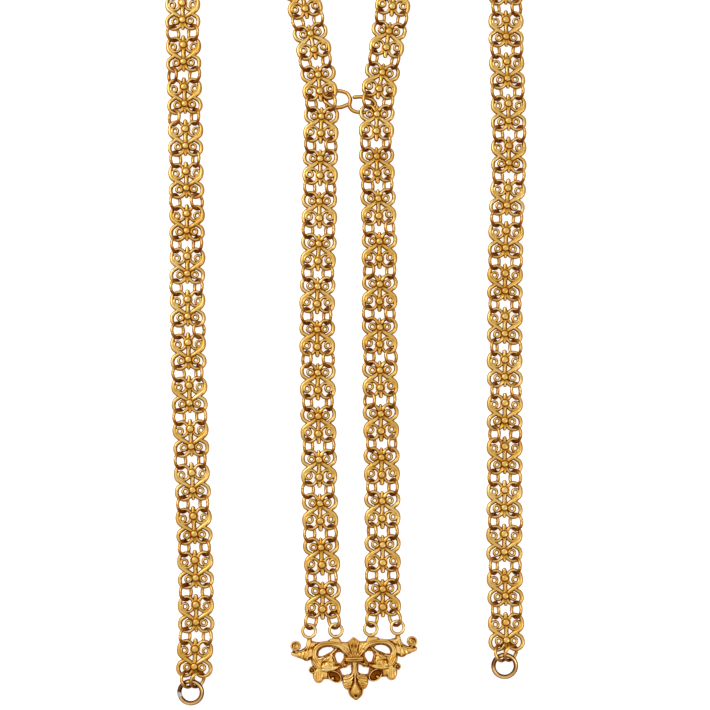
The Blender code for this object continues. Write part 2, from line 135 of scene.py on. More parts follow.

# The hook: its joint, its wire, and the painted shade on its flanks and the darkening all over
HOOK_JOINT = 12
HOOK_PULL = 0.35
HOOK_WIRE = 1.34
HOOK_STEP = 0.4
HOOK_SIDES = 12
HOOK_RIM_FROM = 0.94
HOOK_RIM_TO = 0.72
HOOK_FLANK_SHADE = 0.75
HOOK_STAIN = 0.14

# The end rings
END_RING_AHEAD = 11.3
END_RING_RADIUS = 3.7
END_RING_WIRE = 1.4
END_RING_SHOWN_WIRE = 1.52
END_RING_STEPS = 64
END_RING_SIDES = 24
# Painted dark reflections across a polished ring, from its inner side (-1) to its outer side (1)
END_RING_ACROSS = [-1.0, -0.75, -0.4, -0.1, 0.35, 0.65, 0.85]
END_RING_REFLECTIONS = [1.0, 0.8, 0.5, 0.12, 0.0, 0.6, 1.0]
# Its dark side: angle from straight ahead of the strand, half width, and amount
DARK_SIDE = (radians(-122.0), radians(42.0), 0.55)
# The solder on the left end ring: angle from straight ahead, half its length, its wire
SOLDER_AT = radians(-77.0)
SOLDER_HALF = radians(9.0)
SOLDER_WIRE = 1.66
SOLDER_STEPS = 8
SOLDER_SIDES = 16
SOLDER_RIM = 0.5

# The crest: how it lies, the fineness of its skin, and its cast rings
CREST_TURN = radians(2.3)
CREST_BACK = 0.03
CREST_VOXEL = 0.1
CREST_TRIANGLES = 90000
CREST_RING_HOLE = 1.6
CAST_RING_RADIUS = 2.1
CAST_RING_WIRE = 1.08
CAST_RING_STEPS = 48
CAST_RING_SIDES = 12
CAST_RING_CENTRES = ((14.58, 9.8), (5.75, 9.67))
CAST_RINGS_FROM_Y = 7.6

# Each half's route from the crest up to the turn, and from the turn to the free end (x, y)
HALVES = {
    "left": {
        "side": 1,
        "up": [
            (-10.4, 12.2), (-10.6, 26.5), (-11.4, 48), (-12, 77), (-12.4, 106), (-12.5, 120.5),
            (-11.9, 142), (-11.6, 164), (-11.1, 180), (-11.3, 189), (-12.6, 199), (-15, 211),
            (-18.2, 226),
        ],
        "down": [
            (-58.6, 226), (-58.1, 207), (-57, 173), (-56.2, 140), (-55.6, 106), (-54.4, 72),
            (-52.9, 39), (-52.1, 16), (-52.4, 2), (-52.9, -8), (-53.4, -22),
        ],
        "turn_centre": (-44.5, 283.3),
        "end_ring_aside": 0.8,
    },
    "right": {
        "side": -1,
        "up": [
            (9.35, 13), (9.35, 32), (9.2, 52), (8.8, 79), (8.4, 106), (8.5, 130), (8.1, 151),
            (7.5, 167), (7.2, 180), (8, 189), (9.6, 198), (11.5, 210), (13.8, 226),
        ],
        "down": [
            (51.4, 226), (51.5, 204), (52.2, 180), (51.9, 161), (50.8, 140), (50.3, 112), (50.1, 85),
            (49.8, 55), (49.5, 30), (50.1, 12), (50, 0), (49.9, -14),
        ],
        "turn_centre": (35.6, 288.4),
        "end_ring_aside": 0.6,
    },
}

# The hook's wire from its left end to its right end (x, y, height)
HOOK_ROUTE = [
    (-2.2, 186.1, 1), (-4.4, 185.15, 1.1), (-6.3, 185, 1.25), (-7.7, 185.35, 1.45), (-8.9, 186.1, 1.55),
    (-10.05, 187.1, 1.35), (-10.45, 188.2, 1.05), (-9.8, 189.6, 0.85), (-8.2, 190.5, 0.75),
    (-6, 190.85, 0.75), (-4.2, 190.7, 0.75), (-2.4, 189.9, 0.8), (-1.4, 187.9, 0.95),
    (-1.7, 185.8, 0.9), (-0.8, 184.2, 0.8), (1.1, 183.5, 0.75), (3.2, 183.4, 0.75), (5, 183.8, 0.8),
    (6.35, 184.7, 0.9), (7.1, 185.9, 1), (6.7, 187, 1.3), (5.9, 187.7, 1.45), (4.9, 188.1, 1.35),
    (3.4, 188.5, 1.2), (1.9, 188.75, 1.1), (0, 188.6, 1),
]

# The plaque's right side, stroke by stroke (x, y, width, height of the top)
SCROLL = [
    (1.9, 1.3, 1.2, 0.55), (2.9, 0.5, 1.35, 0.6), (4.15, -0.3, 1.45, 0.6), (5, -1.25, 1.4, 0.55),
    (5.3, -2.7, 1.3, 0.5), (5.05, -4.15, 1.18, 0.46), (4.15, -5.15, 1.08, 0.44),
    (2.9, -5.48, 1.02, 0.44), (1.7, -5.05, 1.02, 0.44), (0.85, -4, 1.08, 0.45),
]
LOBE_ARC = [
    (0.4, 3.9, 1, 0.42), (0.95, 4.95, 1.04, 0.44), (1.9, 5.72, 1.04, 0.44), (3.1, 5.98, 1.04, 0.44),
    (4.35, 5.55, 1.1, 0.44), (5.2, 4.5, 1.2, 0.44), (5.34, 3.2, 1.24, 0.46), (4.9, 1.95, 1.28, 0.48),
    (3.9, 1.25, 1.2, 0.5), (2.9, 0.7, 1.1, 0.5),
]
DIAGONAL = [(0.75, 2, 1.15, 0.5), (1.6, 1.25, 1.25, 0.52), (2.6, 0.4, 1.2, 0.5)]
INNER_WIRE = [
    (0.85, -2.1, 0.95, 0.48), (1.25, -1.35, 0.95, 0.5), (2, -0.72, 0.98, 0.52), (3, -0.6, 1.02, 0.52),
    (4.1, -1, 1.02, 0.5),
]
STEM = [(0, -2, 1.6, 0.5), (0, 0, 1.35, 0.42), (0, 2.2, 1.6, 0.5)]
SPIKE = [(0, 3.6, 1.5, 0.5), (0, 4.6, 1.3, 0.45), (0, 5.7, 1.05, 0.4)]
SPIKE_LEAF = [(0.35, 3.6, 0.9, 0.48), (0.95, 4.5, 0.9, 0.5), (1.45, 5.15, 0.7, 0.5)]
STUB = [(0, -3.9, 1.5, 0.45), (0, -5, 1.4, 0.42), (0, -5.6, 1.35, 0.38)]
# Volutes: middle, outer and inner radius of the wire's line, start angle and turns
UPPER_VOLUTE = ((2.45, 3.15), 1.02, 0.84, 215.0, -1.25)
LOWER_VOLUTE = ((3.6, -2.3), 1.06, 0.84, 70.0, -1.25)
VOLUTE_WIDTH = 0.84
VOLUTE_TOPS = (0.46, 0.58)
VOLUTE_STEPS = 26
# Bosses: middle y and outline from the crown to the rim (radius, height)
UPPER_BOSS = (2.9, [(0, 1.06), (0.75, 1.03), (1.06, 0.88), (1.2, 0.4), (1.42, 0.25)])
LOWER_BOSS = (
    -2.9,
    [(0, 1.1), (0.8, 1.08), (1.12, 0.92), (1.24, 0.3), (1.38, 0.32), (1.66, 0.4)],
)
# Where the jump rings cast a painted shadow on the lobes (x, y, half sizes), how far round and between
# which heights
RING_SHADOWS = [(3.4, 5.0, 1.5, 0.9), (3.5, -4.5, 1.5, 0.9)]
RING_SHADOW_REACH = 1.4
RING_SHADOW_HEIGHTS = (0.5, 0.1)
RING_SHADOW_DARKNESS = 0.7
# Patina and painted shade in the hollows (reach of the test, strength), and painted shade that dims the
# flat faces
PLAQUE_HOLLOWS = (1.5, 2.2)
FLAT_FROM = 0.95
FLAT_TOP_SHADE = 0.13

# The crest's outline from its apex round the right side to its tip, and its openings (x, y)
CREST_GROUND = 1.5
CREST_OUTLINE = [
    (1.1, 5.9), (1.9, 5.65), (4, 5.75), (4.7, 7), (6.5, 7.1), (8.2, 6.5), (9.8, 6.15), (12.6, 6),
    (13.6, 6.3), (14.1, 7.2), (15, 7.2), (15.5, 5.4), (16.4, 4.3), (17.6, 3.6), (20.6, 3.3),
    (20.6, 2.5), (19, 1.6), (18.1, 1), (17.2, 0.7), (16.5, 0.2), (15.6, -0.1), (14.8, 0.3), (14.3, 0.4),
    (13.9, -0.9), (13.4, -2), (13.6, -4.1), (13.5, -5.8), (12.8, -6.9), (11.9, -7.2), (11.1, -6.9),
    (10.4, -6.1), (8.6, -6.2), (7.4, -7), (5.8, -7.1), (4.5, -6), (4, -6), (4.15, -7.5), (4.05, -8.5),
    (3.5, -9.3), (2.5, -9.75), (2.45, -10.8), (2.1, -11.7), (1.4, -12.4), (0.6, -12.9),
]
CREST_APEX_Y = 6.8
CREST_TIP_Y = -13.0
CREST_OPENINGS = [
    [
        (11.9, 1.6), (11.5, 3.1), (10.4, 4), (9, 4.3), (7.4, 4.25), (6.4, 3.9), (7.3, 2.9), (8.7, 2.3),
        (10.3, 1.5), (11.3, 1.1),
    ],
    [(4.5, 2.5), (5.9, 2.3), (6.3, 1.2), (5.6, -0.9), (4.6, -1.1), (3.6, 0.6), (3.5, 1.8)],
    [(4.8, -3), (3.4, -2.7), (2.2, -2), (1.3, -1.7), (1.15, -4.2), (2.4, -5.2), (4.2, -4.9)],
]
# The crest's right side, stroke by stroke (x, y, width, height of the top)
CREST_SIDE = [
    # arm
    [
        (1.6, 1.3, 2.3, 2.35), (2.7, 2.9, 2.7, 2.45), (4.1, 4.3, 2.6, 2.5), (5.9, 5.1, 2.15, 2.5),
        (8.2, 5.4, 1.95, 2.5), (10.6, 5.15, 1.95, 2.5), (12.3, 4.15, 2.05, 2.45),
        (13.1, 2.6, 2.15, 2.4), (13.05, 0.9, 2.5, 2.35), (12.5, -0.5, 2.9, 2.3), (11.8, -1.7, 2.7, 2.3),
    ],
    [
        (2.9, 3.5, 1, 2.6), (4.2, 4.8, 1.1, 2.66), (6, 5.5, 1.1, 2.7), (8.2, 5.75, 1.1, 2.7),
        (10.8, 5.5, 1.1, 2.7), (12.7, 4.35, 1.1, 2.68), (13.6, 2.6, 1.1, 2.6), (13.5, 0.9, 0.9, 2.5),
    ],
    [(12.9, 1, 2.6, 2.4), (12.6, -0.3, 3.4, 2.5), (12, -1.5, 3.4, 2.45), (11.4, -2.3, 2.6, 2.35)],
    [(13.7, 0.8, 0.5, 2.5), (13.3, -0.7, 0.5, 2.62), (12.3, -2.2, 0.4, 2.5)],
    [(13, 0.8, 0.5, 2.55), (12.6, -0.7, 0.5, 2.7), (11.8, -2.4, 0.4, 2.55)],
    [(12.3, 0.6, 0.5, 2.5), (11.9, -0.7, 0.5, 2.65), (11.3, -2.1, 0.4, 2.5)],
    [(11.8, 0.5, 1.6, 2.45), (10.9, 0.7, 1.5, 2.6), (10.1, 1, 0.9, 2.6)],
    # leaf
    [(11, 0, 1.8, 2.45), (10.9, -1.3, 2, 2.5), (10.6, -2.4, 1.6, 2.5)],
    # outer
    [(14.6, 7.25, 1.6, 2.4), (14.6, 6.3, 1.7, 2.45), (14.8, 5.2, 1.5, 2.45), (15, 4.4, 1.2, 2.45)],
    [(12.2, 5.7, 0.9, 2.3), (13.3, 5.6, 1.6, 2.38), (14.5, 5.6, 1.6, 2.4)],
    [(13.2, 5.2, 1.4, 2.38), (13.9, 4.8, 1.9, 2.38), (14.3, 3.4, 1.7, 2.42)],
    [(14.3, 3.4, 1.7, 2.42), (14.4, 1.8, 1.6, 2.4)],
    # inner
    [(5.75, 7.25, 2, 2.35), (5.8, 6.7, 3.2, 2.35), (6, 6, 4.8, 2.38)],
    # wing
    [
        (15, 6.4, 1, 2.5), (15.35, 5.1, 0.95, 2.55), (15.9, 4.1, 0.95, 2.55), (16.8, 3.4, 0.95, 2.5),
        (18, 3.1, 0.9, 2.4), (19.2, 3.2, 0.8, 2.3),
    ],
    [(17.6, 1.9, 1.4, 2.4), (18.8, 2.15, 1.6, 2.5), (19.7, 2.4, 1.6, 2.5), (20.2, 2.6, 1.45, 2.45)],
    [(14.8, 2.4, 3.2, 2.4), (16.2, 2.1, 3.1, 2.4), (17.6, 2.1, 2.4, 2.35), (19.2, 2.5, 1.6, 2.25)],
    [(15.3, 3.9, 1, 2.45), (15.5, 2.2, 1.5, 2.55), (15.5, 0.7, 1.3, 2.4)],
    [(16.2, 3.3, 0.9, 2.45), (16.8, 2.1, 1.4, 2.52), (17, 1.2, 1.2, 2.35)],
    [(17.3, 2.8, 0.9, 2.4), (18, 2.1, 1.2, 2.45), (18.4, 1.5, 1, 2.25)],
    # leaf
    [
        (7.8, 1.3, 1.8, 2.6), (8, 0.5, 3, 2.8), (8.4, -0.5, 4.3, 2.9), (8.9, -1.6, 4.5, 2.9),
        (9.4, -2.5, 3.3, 2.7),
    ],
    [(7.5, 1.3, 1.3, 2.78), (8.5, 0.8, 1.9, 2.97), (9.6, 0.35, 1.7, 2.93), (10.4, -0.1, 1.1, 2.7)],
    [(7, -1, 1.6, 2.8), (7.9, -1.5, 2.6, 2.97), (9, -1.8, 2.9, 3), (10.3, -2.1, 2.2, 2.85)],
    [(7.3, 1.8, 0.5, 2.7), (6.75, 0.8, 0.55, 2.8), (6.45, -0.4, 0.55, 2.8), (6.5, -1.5, 0.5, 2.7)],
    [
        (5, -2, 1.1, 2.5), (6.1, -2.4, 1.9, 2.72), (7.7, -2.8, 2.1, 2.82), (9.4, -3.05, 1.9, 2.82),
        (11, -3.1, 1.2, 2.62),
    ],
    [(4.7, -2.2, 0.7, 2.3), (5.6, -2.2, 1, 2.45)],
    # stalk
    [(5.2, 4.2, 1.4, 2.35), (6.2, 3.2, 1, 2.5), (7.2, 2.3, 0.9, 2.6), (7.9, 1.6, 0.9, 2.65)],
    # between
    [(9.5, -3.9, 1.7, 2.3), (9.5, -5.1, 1.5, 2.3)],
    [(10.3, -3.8, 2.6, 2.32), (10, -4.8, 2.5, 2.32)],
    # lobe
    [
        (11.8, -3, 2.5, 2.35), (12.05, -4.1, 3.6, 2.45), (12.05, -5.2, 3.8, 2.47),
        (12, -5.75, 3.4, 2.45),
    ],
    [(11.3, -3.4, 0.6, 2.45), (11.05, -4.8, 0.7, 2.55), (11.2, -6.3, 0.6, 2.45)],
    [(12, -3.3, 0.6, 2.5), (12.05, -5, 0.8, 2.6), (12, -6.8, 0.6, 2.5)],
    [(12.7, -3.4, 0.6, 2.45), (13.05, -4.8, 0.7, 2.55), (12.8, -6.3, 0.6, 2.45)],
    # curl
    [(13, -1.6, 1, 2.3), (13.4, -2.2, 0.8, 2.3)],
    # palm
    [(1.2, -5.6, 2.1, 2.4), (2.2, -6.6, 3.7, 2.5), (2.5, -7.8, 3.6, 2.5), (2.5, -8.5, 3, 2.42)],
    [
        (1.7, -5.2, 0.8, 2.45), (2.9, -5.35, 0.9, 2.55), (3.7, -5.95, 0.8, 2.5),
        (3.95, -6.8, 0.6, 2.45),
    ],
    [
        (0.45, -0.9, 0.85, 2.6), (0.42, -2.6, 0.8, 2.62), (0.55, -4.2, 0.95, 2.65),
        (1.2, -5.5, 1.3, 2.68), (2.1, -6.1, 1.35, 2.7), (3.1, -6.3, 1.2, 2.68),
    ],
    [(0.8, -5.9, 1, 2.55), (1.5, -6.9, 1.3, 2.65), (2.5, -7.3, 1.3, 2.67), (3.5, -7.2, 1, 2.6)],
    [(1.1, -7.2, 1, 2.52), (1.8, -8.1, 1.15, 2.6), (2.7, -8.35, 1.15, 2.62), (3.5, -8.2, 0.9, 2.52)],
    [(1.5, -8.2, 0.8, 2.4), (2.2, -9, 0.9, 2.45), (3, -9.1, 0.8, 2.35)],
    # calyx
    [
        (2.2, -9.8, 0.6, 2.1), (2.2, -10.9, 0.65, 2.15), (1.8, -11.8, 0.65, 2.1),
        (1.1, -12.5, 0.6, 1.95),
    ],
    # kite
    [
        (0.35, 1.2, 0.7, 2.75), (0.8, 3, 0.8, 2.84), (1.2, 4.6, 0.85, 2.9), (1.6, 5.65, 0.7, 2.9),
        (0.9, 6.35, 0.65, 2.85), (0.2, 7, 0.5, 2.75),
    ],
    [(1.3, 1.9, 1.2, 2.6), (1.8, 3.2, 1.6, 2.62), (2, 4.2, 1.4, 2.6)],
    [(0.75, 0.95, 1, 2.65), (1.5, 2.1, 1.3, 2.75), (1.9, 3.3, 1, 2.6)],
    [(1.4, 0.9, 1, 2.6), (2.4, 1.8, 1.1, 2.65), (2.9, 2.8, 0.8, 2.5)],
    # web
    [(1.2, 4.9, 1.7, 2.35), (2.8, 5, 1.5, 2.4), (4.4, 5.1, 1.4, 2.4)],
    [(1.8, 3.6, 1.8, 2.45), (2.5, 4.3, 1.9, 2.45), (3.4, 4.7, 1.6, 2.45)],
    [(2.1, 4.1, 0.4, 2.55), (2.5, 5.2, 0.4, 2.55)],
    [(2.8, 4.3, 0.4, 2.55), (3.2, 5.3, 0.4, 2.55)],
]
CREST_MIDDLE = [
    # collar
    [(-2.6, 0.25, 1.3, 2.8), (2.6, 0.25, 1.3, 2.8)],
    [(-2.4, 0.8, 0.5, 2.8), (2.4, 0.8, 0.5, 2.8)],
    [(-2.7, -0.35, 0.85, 3.1), (0, -0.5, 0.9, 3.15), (2.7, -0.35, 0.85, 3.1)],
    # stem
    [(0, -0.8, 2.1, 2.4), (0, -2.6, 1.8, 2.45), (0, -4.4, 2, 2.45), (0, -5.6, 1.2, 2.3)],
    # kite
    [
        (0, 1, 1.3, 2.6), (0, 2.6, 1.9, 2.65), (0, 4.3, 2.8, 2.68), (0, 5.2, 3.4, 2.68),
        (0, 5.7, 4, 2.68), (0, 6.1, 3.2, 2.66), (0, 7, 0.7, 2.5),
    ],
    [(0, 1.4, 0.5, 2.85), (0, 4, 0.7, 3), (0, 5.8, 0.9, 3), (0, 6.9, 0.4, 2.7)],
    # drop
    [
        (0, -5.9, 0.9, 2.45), (0, -7.3, 1.5, 2.5), (0, -8.7, 2.6, 2.55), (0, -9.9, 3.7, 2.6),
        (0, -10.8, 4, 2.55), (0, -11.7, 3.4, 2.35), (0, -12.3, 2.3, 2.05),
    ],
    [
        (0, -7.4, 0.8, 2.7), (0, -9, 2.2, 2.8), (0, -10.3, 3.4, 2.85), (0, -11.2, 2.9, 2.75),
        (0, -11.8, 1.6, 2.5),
    ],
]
# The crest's curls: volutes as above, each with its width and the heights of its ends
CREST_VOLUTES = [
    (((19.15, 5.05), 1.45, 0.4, -100, 1.5), 0.78, 2.35, 2.6),
    (((3.3, -1.7), 0.88, 0.8, 160, 0.8), 0.56, 2.5, 2.75),
    (((14.1, -3), 0.9, 0.85, 110, -1), 0.62, 2.35, 2.6),
]
# The cups: middle, half length, half width, lean, and the rim's width and top
CREST_CUP = ((6.7, -5.4), 2.3, 1.55, 38.0, 0.75, 2.6)
CREST_CUP_FLOOR = 0.9
CUP_STEPS = 36
# The painted shade in a cup: heights between which it sets in, how it grows sideways and ahead, and the
# dark far end
CUP_HEIGHTS = (2.3, 1.8)
CUP_SHADE = (0.78, 0.3, 0.12)
CUP_SHADE_LEAST = 0.5
CUP_END = (0.66, 0.91)
CUP_END_REACH = 1.15
CUP_END_SHADE = 0.8
# The balls: middle, radius and top, and their outline (share of the radius, drop)
CREST_BOSSES = [
    ((7.35, -6), 0.75, 2.5),
    ((14.1, -3), 0.7, 1.8),
    ((19.15, 5.05), 1.5, 2.2),
    ((3.3, -1.7), 0.8, 2.5),
]
BALL_OUTLINE = [(0.0, 0.0), (0.5, 0.1), (0.85, 0.45), (1.0, 0.9)]
BOSS_STEPS = 24
# Short raised lines that roughen the leaves (x, y, x, y, height)
CREST_HATCH = [
    (7.4, 1.7, 7.6, 0.5, 2.95), (8, 1.5, 8.2, 0.2, 3.05), (8.6, 1.2, 8.9, -0.1, 3.05),
    (9.2, 0.9, 9.5, -0.2, 3.02), (7.4, -0.9, 8.2, -2.4, 3.1), (8.1, -1, 8.9, -2.6, 3.12),
    (8.8, -1.1, 9.6, -2.8, 3.1),
]
HATCH_WIDTH = 0.26
HATCH_SUNK = 0.2
# Deep spots of the crest's right side (x, y, half sizes, depth)
CREST_PITS = [
    (0, -11.9, 0.5, 0.5, 0.9), (0.62, 4.4, 0.22, 0.75, 0.6), (1.45, 2.3, 0.15, 0.5, 0.35),
    (10.95, -1.5, 0.18, 0.4, 0.45), (10.75, -0.9, 0.3, 0.35, 0.5), (10.3, -0.5, 0.4, 0.25, 0.55),
    (9.7, -0.35, 0.45, 0.2, 0.5), (9.1, -0.4, 0.35, 0.16, 0.4), (8.6, -0.5, 0.25, 0.14, 0.3),
    (5.6, -1.6, 0.5, 0.2, 0.5), (14, 4.2, 0.4, 0.3, 0.4), (5.4, 3.8, 0.5, 0.25, 0.3),
]
# Darkened fields (x, y, half sizes, amount) and engraved ones (x, y, radius, angle across the lines,
# distance between them, amount)
CREST_FIELDS = [
    (8.2, 5.5, 5.2, 0.8, 0.2), (0, -10.4, 1.9, 2, 0.24), (0, 0.5, 2.9, 0.5, 0.22),
    (3.3, -1.7, 1.1, 0.9, 0.25), (2.6, -9, 1.6, 0.8, 0.15), (14.1, 4.3, 0.9, 0.7, 0.5),
    (5.6, -1.9, 1, 0.6, 0.5), (5.4, 3.8, 0.9, 0.5, 0.4), (16.4, 3.9, 1.4, 0.5, 0.3),
    (10.6, -0.4, 0.6, 0.6, 0.3), (7.35, -6, 0.9, 0.9, 0.16), (9.6, -4.7, 1, 1, 0.2),
]
CREST_LINES = [
    (8.3, -0.6, 2.3, 40, 0.72, 0.5), (12, -5, 2, 0, 0.8, 0.34), (12.7, -0.8, 2.1, -29, 0.66, 0.38),
    (2.4, 2.3, 1.7, -35, 0.66, 0.38), (16.4, 2.3, 1.9, 15, 1.1, 0.32), (2.5, -7.2, 2.2, 75, 0.85, 0.34),
]
LINE_DEPTH = 0.25
LINES_ABOVE = 1.9
LINES_FULL = 2 / 3
# Patina and painted shade in the crest's hollows (reach, strength), the darkening all over, the heights
# over which the painted shade on its flanks fades to its share on top, and the painted shade on the
# ledge of its ground plate
CREST_HOLLOWS = (1.0, 1.5)
CREST_STAIN = -0.02
CREST_FLANK_SHADE_FADE = (1.7, 2.3)
CREST_EDGE_TOP = 0.3
CREST_LEDGE = (2.0, 1.6)
CREST_LEDGE_SHADE = 0.72

# A stroke's cross-section (across, height), and how strokes, wires and skins are made
D_SECTION = [
    (-1, 0), (-1, 0.35), (-0.86, 0.66), (-0.6, 0.86), (-0.3, 0.97), (0, 1), (0.3, 0.97), (0.6, 0.86),
    (0.86, 0.66), (1, 0.35), (1, 0),
]
SHOULDER = 0.8
STROKE_STEP = 0.25
CAP_STEPS = 3
CAP_SHORT = 0.4
CAP_DROP = 0.6
WIRE_CAP = (35.0, 65.0, 82.0)
SOFT_FACTOR = 0.5
SOFT_TIMES = 2
# The test for hollows, and the painted shade on steep flanks
RAYS = 24
RAY_START = 0.02
EDGE_FROM = 0.9
EDGE_TO = 0.5
FLANK_SHADE = 0.75

# The metals' colours by their darkening, patina and painted shade together, from clean to deepest
GILT_STOPS = [
    (0, (0.80, 0.59, 0.27, 1)),
    (0.18, (0.71, 0.46, 0.135, 1)),
    (0.4, (0.56, 0.30, 0.052, 1)),
    (0.7, (0.40, 0.145, 0.014, 1)),
    (1, (0.21, 0.055, 0.004, 1)),
]
BAND_STOPS = [
    (0, (0.70, 0.525, 0.24, 1)),
    (0.18, (0.62, 0.41, 0.122, 1)),
    (0.4, (0.53, 0.295, 0.052, 1)),
    (0.7, (0.45, 0.185, 0.018, 1)),
    (1, (0.28, 0.085, 0.006, 1)),
]
POLISHED_STOPS = [
    (0, (0.93, 0.76, 0.49, 1)),
    (0.25, (0.74, 0.47, 0.18, 1)),
    (0.55, (0.36, 0.14, 0.03, 1)),
    (1, (0.035, 0.017, 0.009, 1)),
]
SOLDER_STOPS = [
    (0, (0.56, 0.54, 0.57, 1)),
    (0.5, (0.44, 0.41, 0.42, 1)),
    (1, (0.25, 0.21, 0.19, 1)),
]
# Each metal's slot, roughness where it is clean, scale of its grain, and colours
METALS = {
    "gilt_band": ("gilt_band", 0.24, 2600.0, BAND_STOPS),
    "gilt_wire": ("gilt_wire", 0.2, 1800.0, GILT_STOPS),
    "gilt_casting": ("gilt_casting", 0.24, 1500.0, GILT_STOPS),
    "polished_wire": ("gilt_wire", 0.14, 1200.0, POLISHED_STOPS),
    "solder": ("gilt_wire", 0.35, 1200.0, SOLDER_STOPS),
}
DULLER_BY = 0.25
CLOUD_SCALE = 160.0
CLOUD_DETAIL = 3.0
CLOUD_TONE = (0.3, 0.7, -0.02, 0.2)
GRAIN_DETAIL = 2.0
BUMP_STRENGTH = 0.3
BUMP_DEPTH = 0.00006

# The camera, the room, the floor (half its side in metres) and the lights
VIEW_AT = (0.185, 100.86, 0.0)
VIEW_FROM = 700.0
VIEW_HALF = 118.925
VIEW_ELEVATION = 84.0
VIEW_NEAREST = 10.0
ROOM_TOP = (-0.25, 0.3, 1.0)
ROOM_STOPS = [
    (0.1, (0.30, 0.225, 0.15, 1.0)),
    (0.45, (0.62, 0.55, 0.44, 1.0)),
    (0.8, (1.0, 1.0, 1.02, 1.0)),
]
ROOM_STRENGTH = 1.08
FLOOR_HALF = 3.0
PAPER = {
    "Base Color": (0.78, 0.78, 0.78, 1.0),
    "Roughness": 0.9,
    "Specular IOR Level": 0.1,
    "Emission Color": (1.0, 1.0, 1.0, 1.0),
    "Emission Strength": 0.66,
}
LIT_MIDDLE = (0.0, 110.0, 0.0)
LIGHT_COLOUR = (1.0, 0.98, 0.95)
LIGHTS = [("key", (-460, 420, 640), 420, 2.0), ("fill", (520, -120, 600), 360, 1.2)]


def rise(value, start, end):
    """How far a value has come from start to end, from 0 to 1."""
    return np.clip((value - start) / (end - start), 0.0, 1.0)


def smoothed(points, step):
    """A curve through the points, sampled about every step."""
    points = [Vector(point) for point in points]
    full = [2 * points[0] - points[1]] + points + [2 * points[-1] - points[-2]]
    path = []
    for before, start, end, after in zip(full, full[1:], full[2:], full[3:]):
        count = max(1, round((end - start).length / step))
        for index in range(count):
            t = index / count
            bend = (
                2 * start
                + (end - before) * t
                + (2 * before - 5 * start + 4 * end - after) * t**2
                + (3 * start - 3 * end + after - before) * t**3
            )
            path.append(bend / 2)
    return path + [points[-1]]


def roll_at(y, turn_y):
    """How far the band has rolled onto its edge, from flat to upright at the turn."""
    share = min(max((y - FLAT_UP_TO_Y) / (turn_y - FLAT_UP_TO_Y), 0.0), 1.0)
    return radians(90.0) * share * share * (3.0 - 2.0 * share)


def band_path(half):
    """The band's middle line with its height and roll, from the crest to the free end."""
    x, y = half["turn_centre"]
    arc = []
    for step in range(TURN_STEPS + 1):
        angle = pi * (TURN_FROM + (1.0 - TURN_FROM) * step / TURN_STEPS)
        along = half["side"] * TURN_RADIUS * cos(angle)
        arc.append((x + along, y + TURN_RADIUS * sin(angle)))
    path = []
    for point in smoothed(half["up"] + arc + half["down"], ROUTE_STEP):
        roll = roll_at(point.y, y)
        height = REST_HEIGHT * cos(roll) + LOBE_REACH * sin(roll)
        path.append((Vector((point.x, point.y, height)), roll * half["side"]))
    return path


def joints_along(path):
    """Points a pitch apart along the path, each with the band's roll there."""
    joints = [path[0]]
    for (start, _), (end, roll) in zip(path, path[1:]):
        last = joints[-1][0]
        if (end - last).length < PITCH:
            continue
        reach = (start - last).length
        share = (PITCH - reach) / ((end - last).length - reach)
        joints.append((start.lerp(end, share), roll))
        if len(joints) == PLAQUES_PER_HALF + 1:
            break
    return joints


def place_at(origin, along, roll):
    """A frame whose x is across the band, y along it and z out of its face."""
    along = along.normalized()
    across = Vector((along.y, -along.x, 0.0)).normalized()
    out = across.cross(along)
    face = out * cos(roll) + across * sin(roll)
    side = across * cos(roll) - out * sin(roll)
    made = Matrix((side, along, face)).transposed().to_4x4()
    made.translation = origin
    return made


def band_places(half):
    """The frames of the plaques, and of the joints before, between and after them."""
    joints = joints_along(band_path(half))
    plaques = []
    for (start, roll_before), (end, roll_after) in zip(joints, joints[1:]):
        along = (end - start).normalized()
        roll = 0.5 * (roll_before + roll_after)
        plaques.append(place_at(start + along * JOINT_BELOW, along, roll))
    links = []
    for index, (point, roll) in enumerate(joints):
        before = plaques[max(index - 1, 0)].col[1].to_3d()
        after = plaques[min(index, len(plaques) - 1)].col[1].to_3d()
        links.append(place_at(point, before + after, roll))
    return plaques, links


def mirrored(rows):
    return [(-row[0], *row[1:]) for row in rows]


def join_rings(shape, rings, closed=False):
    """Faces between rings of points in turn, and from the last to the first if closed."""
    made = [[shape.verts.new(point) for point in ring] for ring in rings]
    size = len(rings[0])
    for first, second in zip(made, made[1:] + (made[:1] if closed else [])):
        for index in range(size):
            after = (index + 1) % size
            shape.faces.new((first[index], first[after], second[after], second[index]))
    return made


def stroke(shape, rows, back):
    """A flat-backed band with a rounded top along rows of x, y, width and top."""
    path = smoothed([Vector(row) for row in rows], STROKE_STEP)
    stations = []
    for index, point in enumerate(path):
        ahead = path[min(index + 1, len(path) - 1)] - path[max(index - 1, 0)]
        ahead = Vector((ahead[0], ahead[1])).normalized()
        stations.append((Vector((point[0], point[1])), ahead, point[2], point[3]))
    caps = []
    for station, sign in ((stations[0], -1), (stations[-1], 1)):
        cap = []
        middle, ahead, width, top = station
        for step in range(1, CAP_STEPS + 1):
            angle = 0.5 * pi * step / (CAP_STEPS + CAP_SHORT)
            moved = middle + ahead * (sign * 0.5 * width * sin(angle))
            lower = back + (top - back) * cos(CAP_DROP * angle)
            cap.append((moved, ahead, width * cos(angle), lower))
        caps.append(cap)
    rings = []
    for middle, ahead, width, top in caps[0][::-1] + stations + caps[1]:
        aside = Vector((-ahead.y, ahead.x))
        ring = []
        half = 0.5 * width
        flat = max(0.0, half - SHOULDER)
        for across, height in D_SECTION:
            shift = across * (half - flat)
            if across:
                shift += copysign(flat, across)
            at = middle + aside * shift
            ring.append((at.x, at.y, back + (top - back) * height))
        rings.append(ring)
    made = join_rings(shape, rings)
    shape.faces.new(made[0][::-1])
    shape.faces.new(made[-1])


